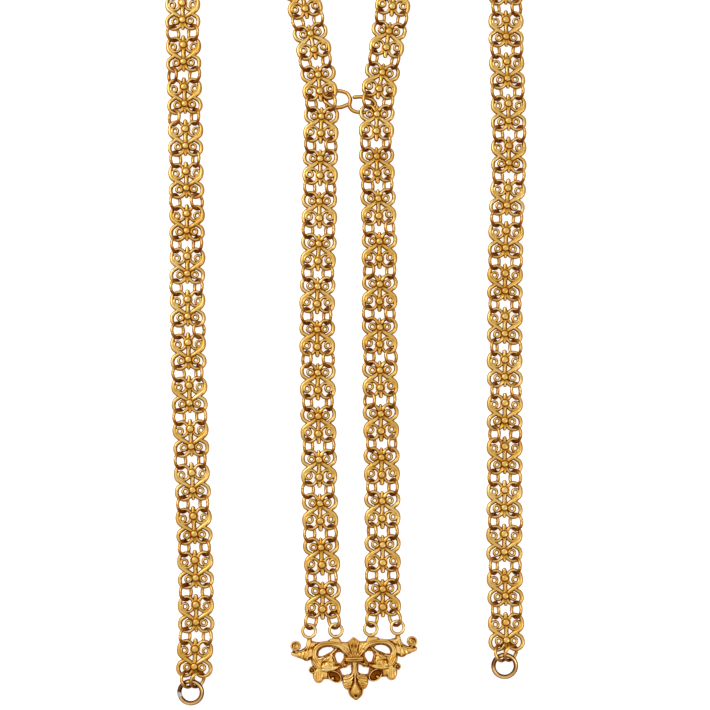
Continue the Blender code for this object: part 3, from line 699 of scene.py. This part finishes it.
def volute_rows(place, width, low, high):
    """Rows for stroke() along a spiral that winds in and rises."""
    middle, outer, inner, start, turns = place
    rows = []
    for step in range(VOLUTE_STEPS + 1):
        share = step / VOLUTE_STEPS
        angle = radians(start + 360.0 * turns * share)
        radius = outer + (inner - outer) * share**3
        x = middle[0] + radius * cos(angle)
        y = middle[1] + radius * sin(angle)
        rows.append((x, y, width, low + (high - low) * share))
    return rows


def turned(shape, middle, outline, back):
    """A turned boss with a flat back. Its outline runs from the crown to the rim."""
    rings = []
    for radius, height in outline[1:] + [(outline[-1][0], back)]:
        ring = circle(radius, BOSS_STEPS)
        rings.append([(middle[0] + x, middle[1] + y, height) for x, y, _ in ring])
    made = join_rings(shape, rings)
    crown = shape.verts.new((*middle, outline[0][1]))
    for index in range(BOSS_STEPS):
        shape.faces.new((crown, made[0][index], made[0][(index + 1) % BOSS_STEPS]))
    shape.faces.new(made[-1][::-1])


def plate(shape, outlines, back, top):
    """A flat plate from an outline and the outlines of its holes."""
    flat = [[Vector((x, y, 0.0)) for x, y in outline] for outline in outlines]
    corners = [point for outline in flat for point in outline]
    lower = [shape.verts.new((point.x, point.y, back)) for point in corners]
    upper = [shape.verts.new((point.x, point.y, top)) for point in corners]
    for a, b, c in tessellate_polygon(flat):
        shape.faces.new((lower[a], lower[b], lower[c]))
        shape.faces.new((upper[a], upper[b], upper[c]))
    first = 0
    for outline in flat:
        size = len(outline)
        for index in range(size):
            a, b = first + index, first + (index + 1) % size
            shape.faces.new((lower[a], lower[b], upper[b], upper[a]))
        first += size


def in_scene(name, data):
    """A new object in the scene."""
    obj = bpy.data.objects.new(name, data)
    bpy.context.scene.collection.objects.link(obj)
    return obj


def fused(shape, voxel, triangles):
    """The shape's bodies joined in one smooth skin, as points and triangles."""
    bmesh.ops.recalc_face_normals(shape, faces=shape.faces)
    mesh = bpy.data.meshes.new("fused")
    shape.to_mesh(mesh)
    shape.free()
    obj = in_scene("fused", mesh)
    join = obj.modifiers.new("join", "REMESH")
    join.mode = "VOXEL"
    join.voxel_size = voxel
    soft = obj.modifiers.new("soft", "SMOOTH")
    soft.factor = SOFT_FACTOR
    soft.iterations = SOFT_TIMES
    bpy.context.view_layer.update()
    made = obj.evaluated_get(bpy.context.evaluated_depsgraph_get()).data
    count = sum(len(face.vertices) - 2 for face in made.polygons)
    thin = obj.modifiers.new("thin", "DECIMATE")
    thin.ratio = min(1.0, triangles / count)
    bpy.context.view_layer.update()
    made = obj.evaluated_get(bpy.context.evaluated_depsgraph_get()).to_mesh()
    made.calc_loop_triangles()
    points = np.empty(len(made.vertices) * 3)
    made.vertices.foreach_get("co", points)
    faces = np.empty(len(made.loop_triangles) * 3, np.int32)
    made.loop_triangles.foreach_get("vertices", faces)
    bpy.data.objects.remove(obj)
    return points.reshape(-1, 3), faces.reshape(-1, 3)


def normals_of(points, faces):
    corners = points[faces]
    flat = np.cross(corners[:, 1] - corners[:, 0], corners[:, 2] - corners[:, 0])
    normals = np.zeros_like(points)
    for corner in range(3):
        np.add.at(normals, faces[:, corner], flat)
    return normals / np.maximum(np.linalg.norm(normals, axis=1, keepdims=True), TINY)


def hollows(points, faces, reach, strength):
    """How closed in each point is, from 0 in the open to 1 deep in a corner."""
    tree = BVHTree.FromPolygons(points.tolist(), faces.tolist())
    spread = []
    for index in range(RAYS):
        up = 1.0 - (index + 0.5) / RAYS
        angle = index * pi * (3.0 - sqrt(5.0))
        flat = sqrt(1.0 - up * up)
        spread.append(Vector((flat * cos(angle), flat * sin(angle), up)))
    closed = np.empty(len(points))
    for index, (point, normal) in enumerate(zip(points, normals_of(points, faces))):
        up = Vector(normal)
        turn = UPWARDS.rotation_difference(up)
        origin = Vector(point) + up * (RAY_START * reach)
        hits = 0.0
        for way in spread:
            distance = tree.ray_cast(origin, turn @ way, reach)[3]
            if distance is not None:
                hits += 1.0 - distance / reach
        closed[index] = hits / RAYS
    return np.clip(closed * strength, 0.0, 1.0)


def flank_shade(normals, up):
    """Painted shade on the steep flanks, standing in for their dark reflections."""
    return FLANK_SHADE * rise(np.abs(normals @ np.asarray(up)), EDGE_FROM, EDGE_TO)


def away_from(points, x, y, half_x, half_y):
    """How far points lie from a spot on either side, as shares of its half sizes."""
    return np.hypot((np.abs(points[:, 0]) - x) / half_x, (points[:, 1] - y) / half_y)


def fuller(rows):
    return [(x, y, width * PLAQUE_FULLER, top) for x, y, width, top in rows]


def plaque():
    """One pierced plaque: scrolls, lobes, volutes, stem, spike, stub and two bosses."""
    shape = bmesh.new()
    pairs = [SCROLL, LOBE_ARC, DIAGONAL, INNER_WIRE, SPIKE_LEAF]
    for volute in (UPPER_VOLUTE, LOWER_VOLUTE):
        pairs.append(volute_rows(volute, VOLUTE_WIDTH, *VOLUTE_TOPS))
    for rows in pairs:
        stroke(shape, fuller(rows), PLAQUE_BACK)
        stroke(shape, fuller(mirrored(rows)), PLAQUE_BACK)
    for rows in (STEM, SPIKE, STUB):
        stroke(shape, fuller(rows), PLAQUE_BACK)
    for y, outline in (UPPER_BOSS, LOWER_BOSS):
        turned(shape, (0.0, y), outline, PLAQUE_BACK)
    points, faces = fused(shape, PLAQUE_VOXEL, PLAQUE_TRIANGLES)
    normals = normals_of(points, faces)
    # Patina and painted shade in the hollows, and painted shade on the steep flanks
    stain_and_shade = hollows(points, faces, *PLAQUE_HOLLOWS) + flank_shade(normals, (0, 0, 1))
    # Painted shade that dims the flat faces facing up, where they mirror the bright room overhead
    stain_and_shade += FLAT_TOP_SHADE * rise(normals[:, 2], FLAT_FROM, 1.0)
    # Painted shadow of the jump rings on the low parts of the lobes
    inner = rise(points[:, 2], *RING_SHADOW_HEIGHTS)
    for spot in RING_SHADOWS:
        near = np.clip(RING_SHADOW_REACH - away_from(points, *spot), 0.0, 1.0)
        stain_and_shade += RING_SHADOW_DARKNESS * near * inner
    return points, faces, stain_and_shade


def tube(path, radius, sides, closed):
    """Rings of points for a round wire along the path, with rounded ends if it is open."""
    path = [Vector(point) for point in path]
    count = len(path)
    stations = []
    for index, point in enumerate(path):
        before = path[(index - 1) % count] if closed else path[max(index - 1, 0)]
        after = path[(index + 1) % count] if closed else path[min(index + 1, count - 1)]
        stations.append((point, (after - before).normalized(), 1.0))
    if not closed:
        start, end = stations[0], stations[-1]
        for angle in WIRE_CAP:
            shift = radius * sin(radians(angle))
            share = cos(radians(angle))
            stations.insert(0, (start[0] - start[1] * shift, start[1], share))
            stations.append((end[0] + end[1] * shift, end[1], share))
    across = stations[0][1].orthogonal().normalized()
    rings = []
    for point, ahead, share in stations:
        across = (across - ahead * across.dot(ahead)).normalized()
        up = ahead.cross(across)
        ring = []
        for side in range(sides):
            around = WHOLE_TURN * side / sides
            offset = across * cos(around) + up * sin(around)
            ring.append(point + offset * (radius * share))
        rings.append(ring)
    return rings


def skin(rings, closed):
    """Points and triangles of a tube's rings."""
    size = len(rings[0])
    points = np.array([point for ring in rings for point in ring])
    faces = []
    for index in range(len(rings) - (0 if closed else 1)):
        first = index * size
        second = ((index + 1) % len(rings)) * size
        for side in range(size):
            after = (side + 1) % size
            faces.append((first + side, first + after, second + after))
            faces.append((first + side, second + after, second + side))
    if not closed:
        last = (len(rings) - 1) * size
        for side in range(1, size - 1):
            faces.append((0, side + 1, side))
            faces.append((last, last + side, last + side + 1))
    return points, np.array(faces)


def circle(radius, steps, seam=0.0):
    """Points round a circle in the x-y plane from +x on, two of them close by a seam."""
    angles = [WHOLE_TURN * step / steps for step in range(steps)]
    if seam:
        turn = WHOLE_TURN - 2 * seam
        angles = [0.0] + [seam + turn * step / steps for step in range(steps + 1)]
    return [(radius * cos(angle), radius * sin(angle), 0.0) for angle in angles]


def ring_mesh(radius, wire, steps, sides):
    """A closed ring of round wire in the x-y plane."""
    return skin(tube(circle(radius, steps), 0.5 * wire, sides, True), True)


def jump_ring():
    """A ring of wire with the seam of its closed cut at +x."""
    rings = tube(circle(RING_RADIUS, RING_STEPS, RING_SEAM), 0.5 * RING_WIRE, RING_SIDES, True)
    middle = Vector((RING_RADIUS, 0.0, 0.0))
    rings[0] = [point.lerp(middle, RING_SEAM_DEPTH) for point in rings[0]]
    points, faces = skin(rings, True)
    return points, faces, normals_of(points, faces)


def shaded_ends(along):
    """Painted shade towards a ring's ends, where it lies in the shadow of the lobes."""
    return RING_END_SHADE * rise(along, RING_END_FROM, 1.0)


def gathered(copies):
    """Copies of (points, faces, stain_and_shade, matrix) as one mesh."""
    points, faces, stain_and_shade = [], [], []
    count = 0
    for local, local_faces, local_stain_and_shade, matrix in copies:
        turn = np.array(matrix.to_3x3())
        placed = local @ turn.T + np.array(matrix.translation)
        placed[:, 2] += max(0.0, FLOOR_GAP - placed[:, 2].min())
        points.append(placed)
        faces.append(local_faces + count)
        stain_and_shade.append(local_stain_and_shade)
        count += len(local)
    return np.concatenate(points), np.concatenate(faces), np.concatenate(stain_and_shade)


def piece(name, copies, metal, node):
    """The copies as one finished piece in metres, riding on the part's one body."""
    points, faces, stain_and_shade = gathered(copies)
    mesh = bpy.data.meshes.new(name)
    mesh.from_pydata((points * MM).tolist(), [], faces.tolist())
    attribute = mesh.attributes.new("stain_and_shade", "FLOAT", "POINT")
    attribute.data.foreach_set("value", np.asarray(stain_and_shade, np.float32))
    mesh.materials.append(metals[metal])
    mesh.shade_smooth()
    mesh.validate()
    obj = in_scene(name, mesh)
    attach(obj, next(iter(frame["bodies"])))
    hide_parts(node)


def add_node(tree, kind, **values):
    """A shader node with values for its inputs, where _ in a name stands for a space."""
    made = tree.nodes.new(f"ShaderNode{kind}")
    for name, value in values.items():
        made.inputs[name.replace("_", " ")].default_value = value
    return made


def colour_ramp(tree, colours):
    """A ramp through the colours, each with its position."""
    ramp = add_node(tree, "ValToRGB")
    stops = ramp.color_ramp.elements
    stops[0].position, stops[0].color = colours[0]
    stops[1].position, stops[1].color = colours[-1]
    for position, colour in colours[1:-1]:
        stops.new(position).color = colour
    return ramp


def gilt(name, shine, grain, colours):
    """Gilt metal: bright where it is open, deep brown in its hollows, finely uneven."""
    metal = bpy.data.materials.new(name)
    metal.use_nodes = True
    tree = metal.node_tree
    shader = tree.nodes["Principled BSDF"]
    shader.inputs["Metallic"].default_value = 1.0
    place = add_node(tree, "TexCoord")
    stain_and_shade = add_node(tree, "Attribute")
    stain_and_shade.attribute_name = "stain_and_shade"
    cloud = add_node(tree, "TexNoise", Scale=CLOUD_SCALE, Detail=CLOUD_DETAIL)
    fine = add_node(tree, "TexNoise", Scale=grain, Detail=GRAIN_DETAIL)
    low, high, least, most = CLOUD_TONE
    tone = add_node(tree, "MapRange", From_Min=low, From_Max=high, To_Min=least, To_Max=most)
    depth = add_node(tree, "Math")
    depth.operation = "ADD"
    depth.use_clamp = True
    ramp = colour_ramp(tree, colours)
    rough = add_node(tree, "MapRange", To_Min=shine, To_Max=shine + DULLER_BY)
    bump = add_node(tree, "Bump", Strength=BUMP_STRENGTH, Distance=BUMP_DEPTH)
    for source, out, target, into in (
        (place, "Object", cloud, "Vector"),
        (place, "Object", fine, "Vector"),
        (cloud, "Fac", tone, "Value"),
        (stain_and_shade, "Fac", depth, 0),
        (tone, "Result", depth, 1),
        (depth, "Value", ramp, "Fac"),
        (ramp, "Color", shader, "Base Color"),
        (depth, "Value", rough, "Value"),
        (rough, "Result", shader, "Roughness"),
        (fine, "Fac", bump, "Height"),
        (bump, "Normal", shader, "Normal"),
    ):
        tree.links.new(source.outputs[out], target.inputs[into])
    return metal


def uneven(points, seed):
    """A cast piece's own small departures from its pattern."""
    shift = Vector((seed * UNEVEN_SHIFT[0], seed * UNEVEN_SHIFT[1], 0.0))
    moved = points.copy()
    for index, point in enumerate(points):
        drift = noise.noise_vector(Vector(point) * UNEVEN_SCALE + shift)
        moved[index] += UNEVEN * np.array(drift)
    return moved


def small_turn(draw, degrees):
    angles = [radians(draw.uniform(-degrees, degrees)) for _ in range(3)]
    turn = Matrix.Rotation(angles[0], 4, "X") @ Matrix.Rotation(angles[1], 4, "Y")
    return turn @ Matrix.Rotation(0.5 * angles[2], 4, "Z")


def strand_rings(links, joints, draw, skipped):
    """The pairs of jump rings at a strand's joints."""
    points, faces, normals = jump_ring()
    copies = []
    for joint in joints:
        for sign in (-1, 1):
            flat = abs(links[joint].col[2].z)
            tilt = radians(draw.uniform(*RING_TILT))
            tilt *= TURN_RING_TILT + (1 - TURN_RING_TILT) * flat
            tilt = tilt if draw.uniform() < OUTER_LIMB_UP else -tilt
            spin = draw.uniform(-RING_SPIN, RING_SPIN) + (pi if sign < 0 else 0.0)
            lean = small_turn(draw, RING_LEAN)
            tone = draw.uniform(*RING_TONE)
            aside = sign * draw.uniform(*RING_CENTRE_X)
            aside *= TURN_RING_ASIDE + (1.0 - TURN_RING_ASIDE) * flat
            if (joint, sign) == skipped:
                continue
            turn = lean @ Matrix.Rotation(-sign * tilt, 4, "Y")
            place = links[joint] @ Matrix.Translation((aside, 0, 0)) @ turn
            least = RING_RADIUS * sin(abs(tilt)) + 0.5 * RING_WIRE + FLOOR_GAP
            place.translation.z = max(place.translation.z, least)
            spun = np.array(Matrix.Rotation(spin, 3, "Z"))
            up = np.array(turn.to_3x3())[2]
            # Painted shade on the ring's steep flanks
            slope = flank_shade(normals @ spun.T, up)
            turned_points = points @ spun.T
            along = turned_points[:, 1] / RING_RADIUS
            # Painted shade towards both ends, and on the lower limb, towards -y and away from the light
            lower = -along if links[joint].col[1].y > 0.0 else along
            limb = LIMB_SHADE * rise(lower, LIMB_FROM, LIMB_TO)
            dark = np.maximum(shaded_ends(np.abs(along)), limb)
            copies.append((turned_points, faces, np.maximum(dark, slope) + tone, place))
    return copies


def chains():
    """The four strands' plaques and jump rings, each strand in two pieces."""
    points, faces, stain_and_shade = plaque()
    noise.seed_set(SEED)
    castings = [uneven(points, seed) for seed in range(CASTINGS)]
    draw = np.random.default_rng(SEED)
    spans = {"inner": (0, PLAQUES_TO_TURN), "outer": (PLAQUES_TO_TURN, PLAQUES_PER_HALF)}
    for half_name, half in HALVES.items():
        plaques, links = places[half_name]
        for strand, (first, last) in spans.items():
            node = f"chain_{half_name}_{strand}"
            copies = []
            for index in range(first, last):
                casting = castings[int(draw.integers(len(castings)))]
                tone = draw.uniform(*PLAQUE_TONE)
                place = plaques[index] @ small_turn(draw, PLAQUE_LEAN)
                copies.append((casting, faces, stain_and_shade + tone, place))
            piece(f"{node}_plaques", copies, "gilt_band", node)
            joints = range(max(first, 1), min(last, PLAQUES_PER_HALF))
            copies = strand_rings(links, joints, draw, (HOOK_JOINT, half["side"]))
            piece(f"{node}_rings", copies, "gilt_wire", node)


def ring_place(centre, normal, start):
    """A frame at the centre whose z is the normal and whose x is towards start."""
    normal = normal.normalized()
    across = normal.cross(start).normalized()
    place = Matrix((across.cross(normal), across, normal)).transposed().to_4x4()
    place.translation = centre
    return place


def link_ring(name, centre, normal, start):
    """A jump ring of its own, with painted shade where it hangs in its neighbours and on its flanks."""
    place = ring_place(centre, normal, start)
    points, faces = ring_mesh(LINK_SHOWN_RADIUS, LINK_WIRE, LINK_STEPS, LINK_SIDES)
    # Painted shade on the ring's steep flanks
    slope = flank_shade(normals_of(points, faces), np.array(place.to_3x3())[2])
    # Painted shade towards the ends, where it hangs in its neighbours
    stain_and_shade = np.maximum(shaded_ends(np.abs(points[:, 0]) / LINK_SHOWN_RADIUS), slope)
    copies = [(points, faces, stain_and_shade + WIRE_STAIN, place)]
    piece(f"{name}_round", copies, "gilt_wire", name)


def end_ring(name, centre, normal, start):
    """The big polished ring at a free end, with the solder that closes the left one."""
    place = ring_place(centre, normal, start)
    size = (END_RING_RADIUS, END_RING_SHOWN_WIRE, END_RING_STEPS, END_RING_SIDES)
    points, faces = ring_mesh(*size)
    low = min((place @ Vector(point)).z for point in points)
    place.translation.z += max(0.0, FLOOR_GAP - low)
    across = np.hypot(points[:, 0], points[:, 1]) - END_RING_RADIUS
    across = across * 2.0 / END_RING_SHOWN_WIRE
    # Painted dark reflections across the wire
    stain_and_shade = np.interp(across, END_RING_ACROSS, END_RING_REFLECTIONS)
    at, half, amount = DARK_SIDE
    away = np.arctan2(points[:, 1], points[:, 0]) - at
    away = np.abs((away + pi) % WHOLE_TURN - pi)
    stain_and_shade += amount * rise(away, half, 0.5 * half)
    piece(f"{name}_round", [(points, faces, stain_and_shade, place)], "polished_wire", name)
    if name != "end_ring_left":
        return
    arc = []
    for step in range(SOLDER_STEPS + 1):
        angle = SOLDER_AT + SOLDER_HALF * (2 * step / SOLDER_STEPS - 1)
        arc.append((END_RING_RADIUS * cos(angle), END_RING_RADIUS * sin(angle), 0.0))
    points, faces = skin(tube(arc, 0.5 * SOLDER_WIRE, SOLDER_SIDES, False), False)
    # Painted shade on the solder's steep flanks
    rim = SOLDER_RIM * flank_shade(normals_of(points, faces), np.array(place.to_3x3())[2])
    piece(f"{name}_solder", [(points, faces, rim, place)], "solder", name)


def link_through(name, first, first_hole, second, second_hole, tilt, pull=0.0):
    """A jump ring through two holes, tilted about the line between their centres."""
    along = (second - first).normalized()
    across = UPWARDS.cross(along).normalized()
    normal = across.cross(along) * -cos(tilt) + across * sin(tilt)
    centre = 0.5 * (first + along * first_hole + second - along * second_hole)
    centre += along * pull
    centre.z = LINK_RADIUS * sin(abs(tilt)) + 0.5 * LINK_RISE_WIRE + FLOOR_GAP
    link_ring(name, centre, normal, along)


def lobe_middle(place, upper, sign, aside=0.0):
    """The middle of a lobe's hole, or a point a little outside of it."""
    y = UPPER_LOBE_Y if upper else LOWER_LOBE_Y
    return place @ Vector((sign * (LOBE_CENTRE_X + aside), y, 0.0))


def free_end(name, place, aside):
    """The big ring at a strand's free end, and the two jump rings that hold it."""
    near = REST_HEIGHT
    far = 0.5 * END_RING_WIRE + FLOOR_GAP
    middle = place @ Vector((aside, END_RING_AHEAD, 0.0))
    middle.z = 0.5 * (near + far)
    lean = asin((near - far) / (2 * END_RING_RADIUS))
    ahead = place.col[1].to_3d() * cos(lean) + Vector((0, 0, -sin(lean)))
    normal = place.col[0].to_3d().cross(ahead)
    end_ring(f"end_ring_{name}", middle, normal, ahead)
    inside = END_RING_RADIUS - 0.5 * END_RING_WIRE
    for number, sign in enumerate((-1, 1), 1):
        lobe = lobe_middle(place, True, sign)
        link = f"end_link_{name}_{number}"
        link_through(link, lobe, LOBE_HOLE_RADIUS, middle, inside, END_LINK_TILT)


def crest_links():
    """The four jump rings between the crest and the two inner strands, left to right."""
    rows = [("left", -1, 0), ("left", 1, 1), ("right", -1, 1), ("right", 1, 0)]
    turn = Matrix.Rotation(CREST_TURN, 4, "Z")
    for number, (name, sign, which) in enumerate(rows, 1):
        x, y = CAST_RING_CENTRES[which]
        x = -x if name == "left" else x
        middle = turn @ Vector((x, y, REST_HEIGHT))
        lobe = lobe_middle(places[name][0][0], False, sign)
        tilt = sign * LINK_TILT
        holes = (middle, CREST_RING_HOLE, lobe, LOBE_HOLE_RADIUS)
        link_through(f"pendant_link_{number}", *holes, tilt, LINK_PULL)


def hook():
    """The S-hook, and the two jump rings that it joins."""
    path = smoothed(HOOK_ROUTE, HOOK_STEP)
    points, faces = skin(tube(path, 0.5 * HOOK_WIRE, HOOK_SIDES, False), False)
    # Painted shade on the wire's flanks, and a darkening all over
    lift = np.abs(normals_of(points, faces)[:, 2])
    stain_and_shade = HOOK_FLANK_SHADE * rise(lift, HOOK_RIM_FROM, HOOK_RIM_TO) + HOOK_STAIN
    piece("s_hook_wire", [(points, faces, stain_and_shade, Matrix())], "gilt_wire", "s_hook")
    for name, half in HALVES.items():
        plaques = places[name][0]
        sign = half["side"]
        below = lobe_middle(plaques[HOOK_JOINT - 1], True, sign, HOOK_PULL)
        above = lobe_middle(plaques[HOOK_JOINT], False, sign, HOOK_PULL)
        hole = LOBE_HOLE_RADIUS
        tilt = sign * HOOK_LINK_TILT
        link_through(f"hook_link_{name}", below, hole, above, hole, tilt)


def cup_rim():
    """Rows for stroke() round the leaning oval rim of a cup."""
    (x, y), long, short, lean, width, top = CREST_CUP
    lean = radians(lean)
    rows = []
    for step in range(CUP_STEPS + 1):
        angle = WHOLE_TURN * step / CUP_STEPS
        u, v = long * cos(angle), short * sin(angle)
        across = u * cos(lean) - v * sin(lean)
        up = u * sin(lean) + v * cos(lean)
        rows.append((x + across, y + up, width, top))
    return rows


def crest_shape():
    """The crest's ground plate, relief, volutes, cups, balls and four rings."""
    shape = bmesh.new()
    left = mirrored(CREST_OUTLINE)[::-1]
    outlines = [[(0.0, CREST_APEX_Y)] + CREST_OUTLINE + [(0.0, CREST_TIP_Y)] + left]
    for opening in CREST_OPENINGS:
        outlines += [opening, mirrored(opening)]
    plate(shape, outlines, CREST_BACK, CREST_GROUND)
    pairs = list(CREST_SIDE)
    pairs += [volute_rows(*volute) for volute in CREST_VOLUTES]
    pairs.append(cup_rim())
    for x1, y1, x2, y2, top in CREST_HATCH:
        size = (HATCH_WIDTH, top - HATCH_SUNK)
        pairs.append([(x1, y1, *size), (x2, y2, *size)])
    for rows in pairs:
        stroke(shape, rows, CREST_BACK)
        stroke(shape, mirrored(rows), CREST_BACK)
    for rows in CREST_MIDDLE:
        stroke(shape, rows, CREST_BACK)
    for (x, y), radius, top in CREST_BOSSES:
        dome = [(share * radius, top - drop) for share, drop in BALL_OUTLINE]
        turned(shape, (x, y), dome, CREST_BACK)
        turned(shape, (-x, y), dome, CREST_BACK)
    for x, y in CAST_RING_CENTRES:
        for sign in (-1, 1):
            path = circle(CAST_RING_RADIUS, CAST_RING_STEPS)
            path = [(sign * x + u, y + v, REST_HEIGHT) for u, v, _ in path]
            join_rings(shape, tube(path, 0.5 * CAST_RING_WIRE, CAST_RING_SIDES, True), True)
    return shape


def sink_cups(points):
    """Sinks the floors of the crest's cups, and returns the painted shade in them."""
    (x, y), long, short, lean, _, _ = CREST_CUP
    lean = radians(lean)
    height = points[:, 2]
    across, up = np.abs(points[:, 0]) - x, points[:, 1] - y
    ahead = (across * cos(lean) + up * sin(lean)) / long
    aside = (up * cos(lean) - across * sin(lean)) / short
    away = np.hypot(ahead, aside)
    low = rise(height, *CUP_HEIGHTS) * (height > 0.5 * CREST_GROUND)
    base, by_aside, by_ahead = CUP_SHADE
    shade = np.clip(base + by_aside * aside + by_ahead * ahead, CUP_SHADE_LEAST, 1.0)
    shade = (away < 1.0) * low * shade
    end = CUP_END_SHADE * rise(ahead, *CUP_END) * (away < CUP_END_REACH)
    height -= (CREST_GROUND - CREST_CUP_FLOOR) * np.clip(1.0 - away**2, 0.0, 1.0) * low
    return np.maximum(shade, end)


def crest():
    """The cast crest, with its pits, cups and engraved lines sunk and darkened, the cups in painted
    shade.
    """
    points, faces = fused(crest_shape(), CREST_VOXEL, CREST_TRIANGLES)
    height = points[:, 2]
    spots = np.zeros(len(points))
    raised = height > CREST_GROUND
    for *spot, depth in CREST_PITS:
        share = np.clip(1.0 - away_from(points, *spot) ** 2, 0.0, 1.0) * raised
        height -= depth * share
        spots = np.maximum(spots, share)
    # Painted shade in the cups and on their dark far ends
    spots = np.maximum(spots, sink_cups(points))
    shown = height > LINES_ABOVE
    for x, y, radius, angle, pitch, amount in CREST_LINES:
        angle = radians(angle)
        across = (np.abs(points[:, 0]) - x) * cos(angle)
        across += (points[:, 1] - y) * sin(angle)
        wave = (0.5 + 0.5 * np.cos(WHOLE_TURN * across / pitch)) ** 2
        wave *= amount * rise(away_from(points, x, y, radius, radius), 1.0, LINES_FULL) * shown
        height -= LINE_DEPTH * wave
        spots = np.maximum(spots, wave)
    fields = np.zeros(len(points))
    for *spot, amount in CREST_FIELDS:
        fields = np.maximum(fields, amount * rise(away_from(points, *spot), 1.0, 0.5))
    # Patina and painted shade in the hollows, the darkened fields, and a darkening all over
    closed = hollows(points, faces, *CREST_HOLLOWS) + fields + CREST_STAIN
    below_rings = points[:, 1] < CAST_RINGS_FROM_Y
    # Painted shade on the steep flanks, fading on the heights below the rings
    above = rise(height, *CREST_FLANK_SHADE_FADE) * below_rings
    slope = flank_shade(normals_of(points, faces), (0, 0, 1))
    closed += slope * (1.0 - (1.0 - CREST_EDGE_TOP) * above)
    # Painted shade on the ledge and the low ground plate below the rings
    ledge = rise(height, *CREST_LEDGE) * below_rings
    closed = np.maximum(closed, CREST_LEDGE_SHADE * ledge)
    turn = Matrix.Rotation(CREST_TURN, 4, "Z")
    piece("pendant_cast", [(points, faces, closed + spots, turn)], "gilt_casting", "pendant")


def camera():
    made = bpy.data.cameras.new("camera")
    made.sensor_fit = "HORIZONTAL"
    made.angle = 2 * atan(VIEW_HALF / VIEW_FROM)
    made.dof.use_dof = False
    made.clip_start = VIEW_NEAREST * MM
    obj = in_scene("camera", made)
    up = radians(VIEW_ELEVATION)
    back = Vector((0.0, -cos(up), sin(up)))
    obj.location = (Vector(VIEW_AT) + back * VIEW_FROM) * MM
    obj.rotation_euler = (-back).to_track_quat("-Z", "Y").to_euler()
    bpy.context.scene.camera = obj


def soft_light(name, place, size, power):
    light = bpy.data.lights.new(name, "AREA")
    light.shape = "SQUARE"
    light.size = size * MM
    light.energy = power
    light.color = LIGHT_COLOUR
    obj = in_scene(name, light)
    obj.location = Vector(place) * MM
    way = Vector(LIT_MIDDLE) - Vector(place)
    obj.rotation_euler = way.to_track_quat("-Z", "Y").to_euler()


def room():
    """A room that is bright overhead and behind, and dim near the horizon."""
    world = bpy.data.worlds.new("room")
    world.use_nodes = True
    tree = world.node_tree
    way = add_node(tree, "TexCoord")
    towards = add_node(tree, "VectorMath")
    towards.operation = "DOT_PRODUCT"
    towards.inputs[1].default_value = Vector(ROOM_TOP).normalized()
    ramp = colour_ramp(tree, ROOM_STOPS)
    backdrop = tree.nodes["Background"]
    backdrop.inputs["Strength"].default_value = ROOM_STRENGTH
    tree.links.new(way.outputs["Generated"], towards.inputs[0])
    tree.links.new(towards.outputs["Value"], ramp.inputs["Fac"])
    tree.links.new(ramp.outputs["Color"], backdrop.inputs["Color"])
    bpy.context.scene.world = world


def studio():
    """A plain white floor, and soft lights overhead."""
    mesh = bpy.data.meshes.new("floor")
    side = FLOOR_HALF
    corners = [(-side, -side, 0), (side, -side, 0), (side, side, 0), (-side, side, 0)]
    mesh.from_pydata(corners, [], [(0, 1, 2, 3)])
    floor = in_scene("floor", mesh)
    paper = bpy.data.materials.new("paper")
    paper.use_nodes = True
    shader = paper.node_tree.nodes["Principled BSDF"]
    for name, value in PAPER.items():
        shader.inputs[name].default_value = value
    mesh.materials.append(paper)
    for light in LIGHTS:
        soft_light(*light)


bpy.context.scene.view_settings.view_transform = "Standard"
metals = {name: gilt(name, *look[1:]) for name, look in METALS.items()}
places = {name: band_places(half) for name, half in HALVES.items()}

camera()
room()
studio()
chains()
crest()
crest_links()
hook()
for half_name, half_values in HALVES.items():
    free_end(half_name, places[half_name][0][-1], half_values["end_ring_aside"])
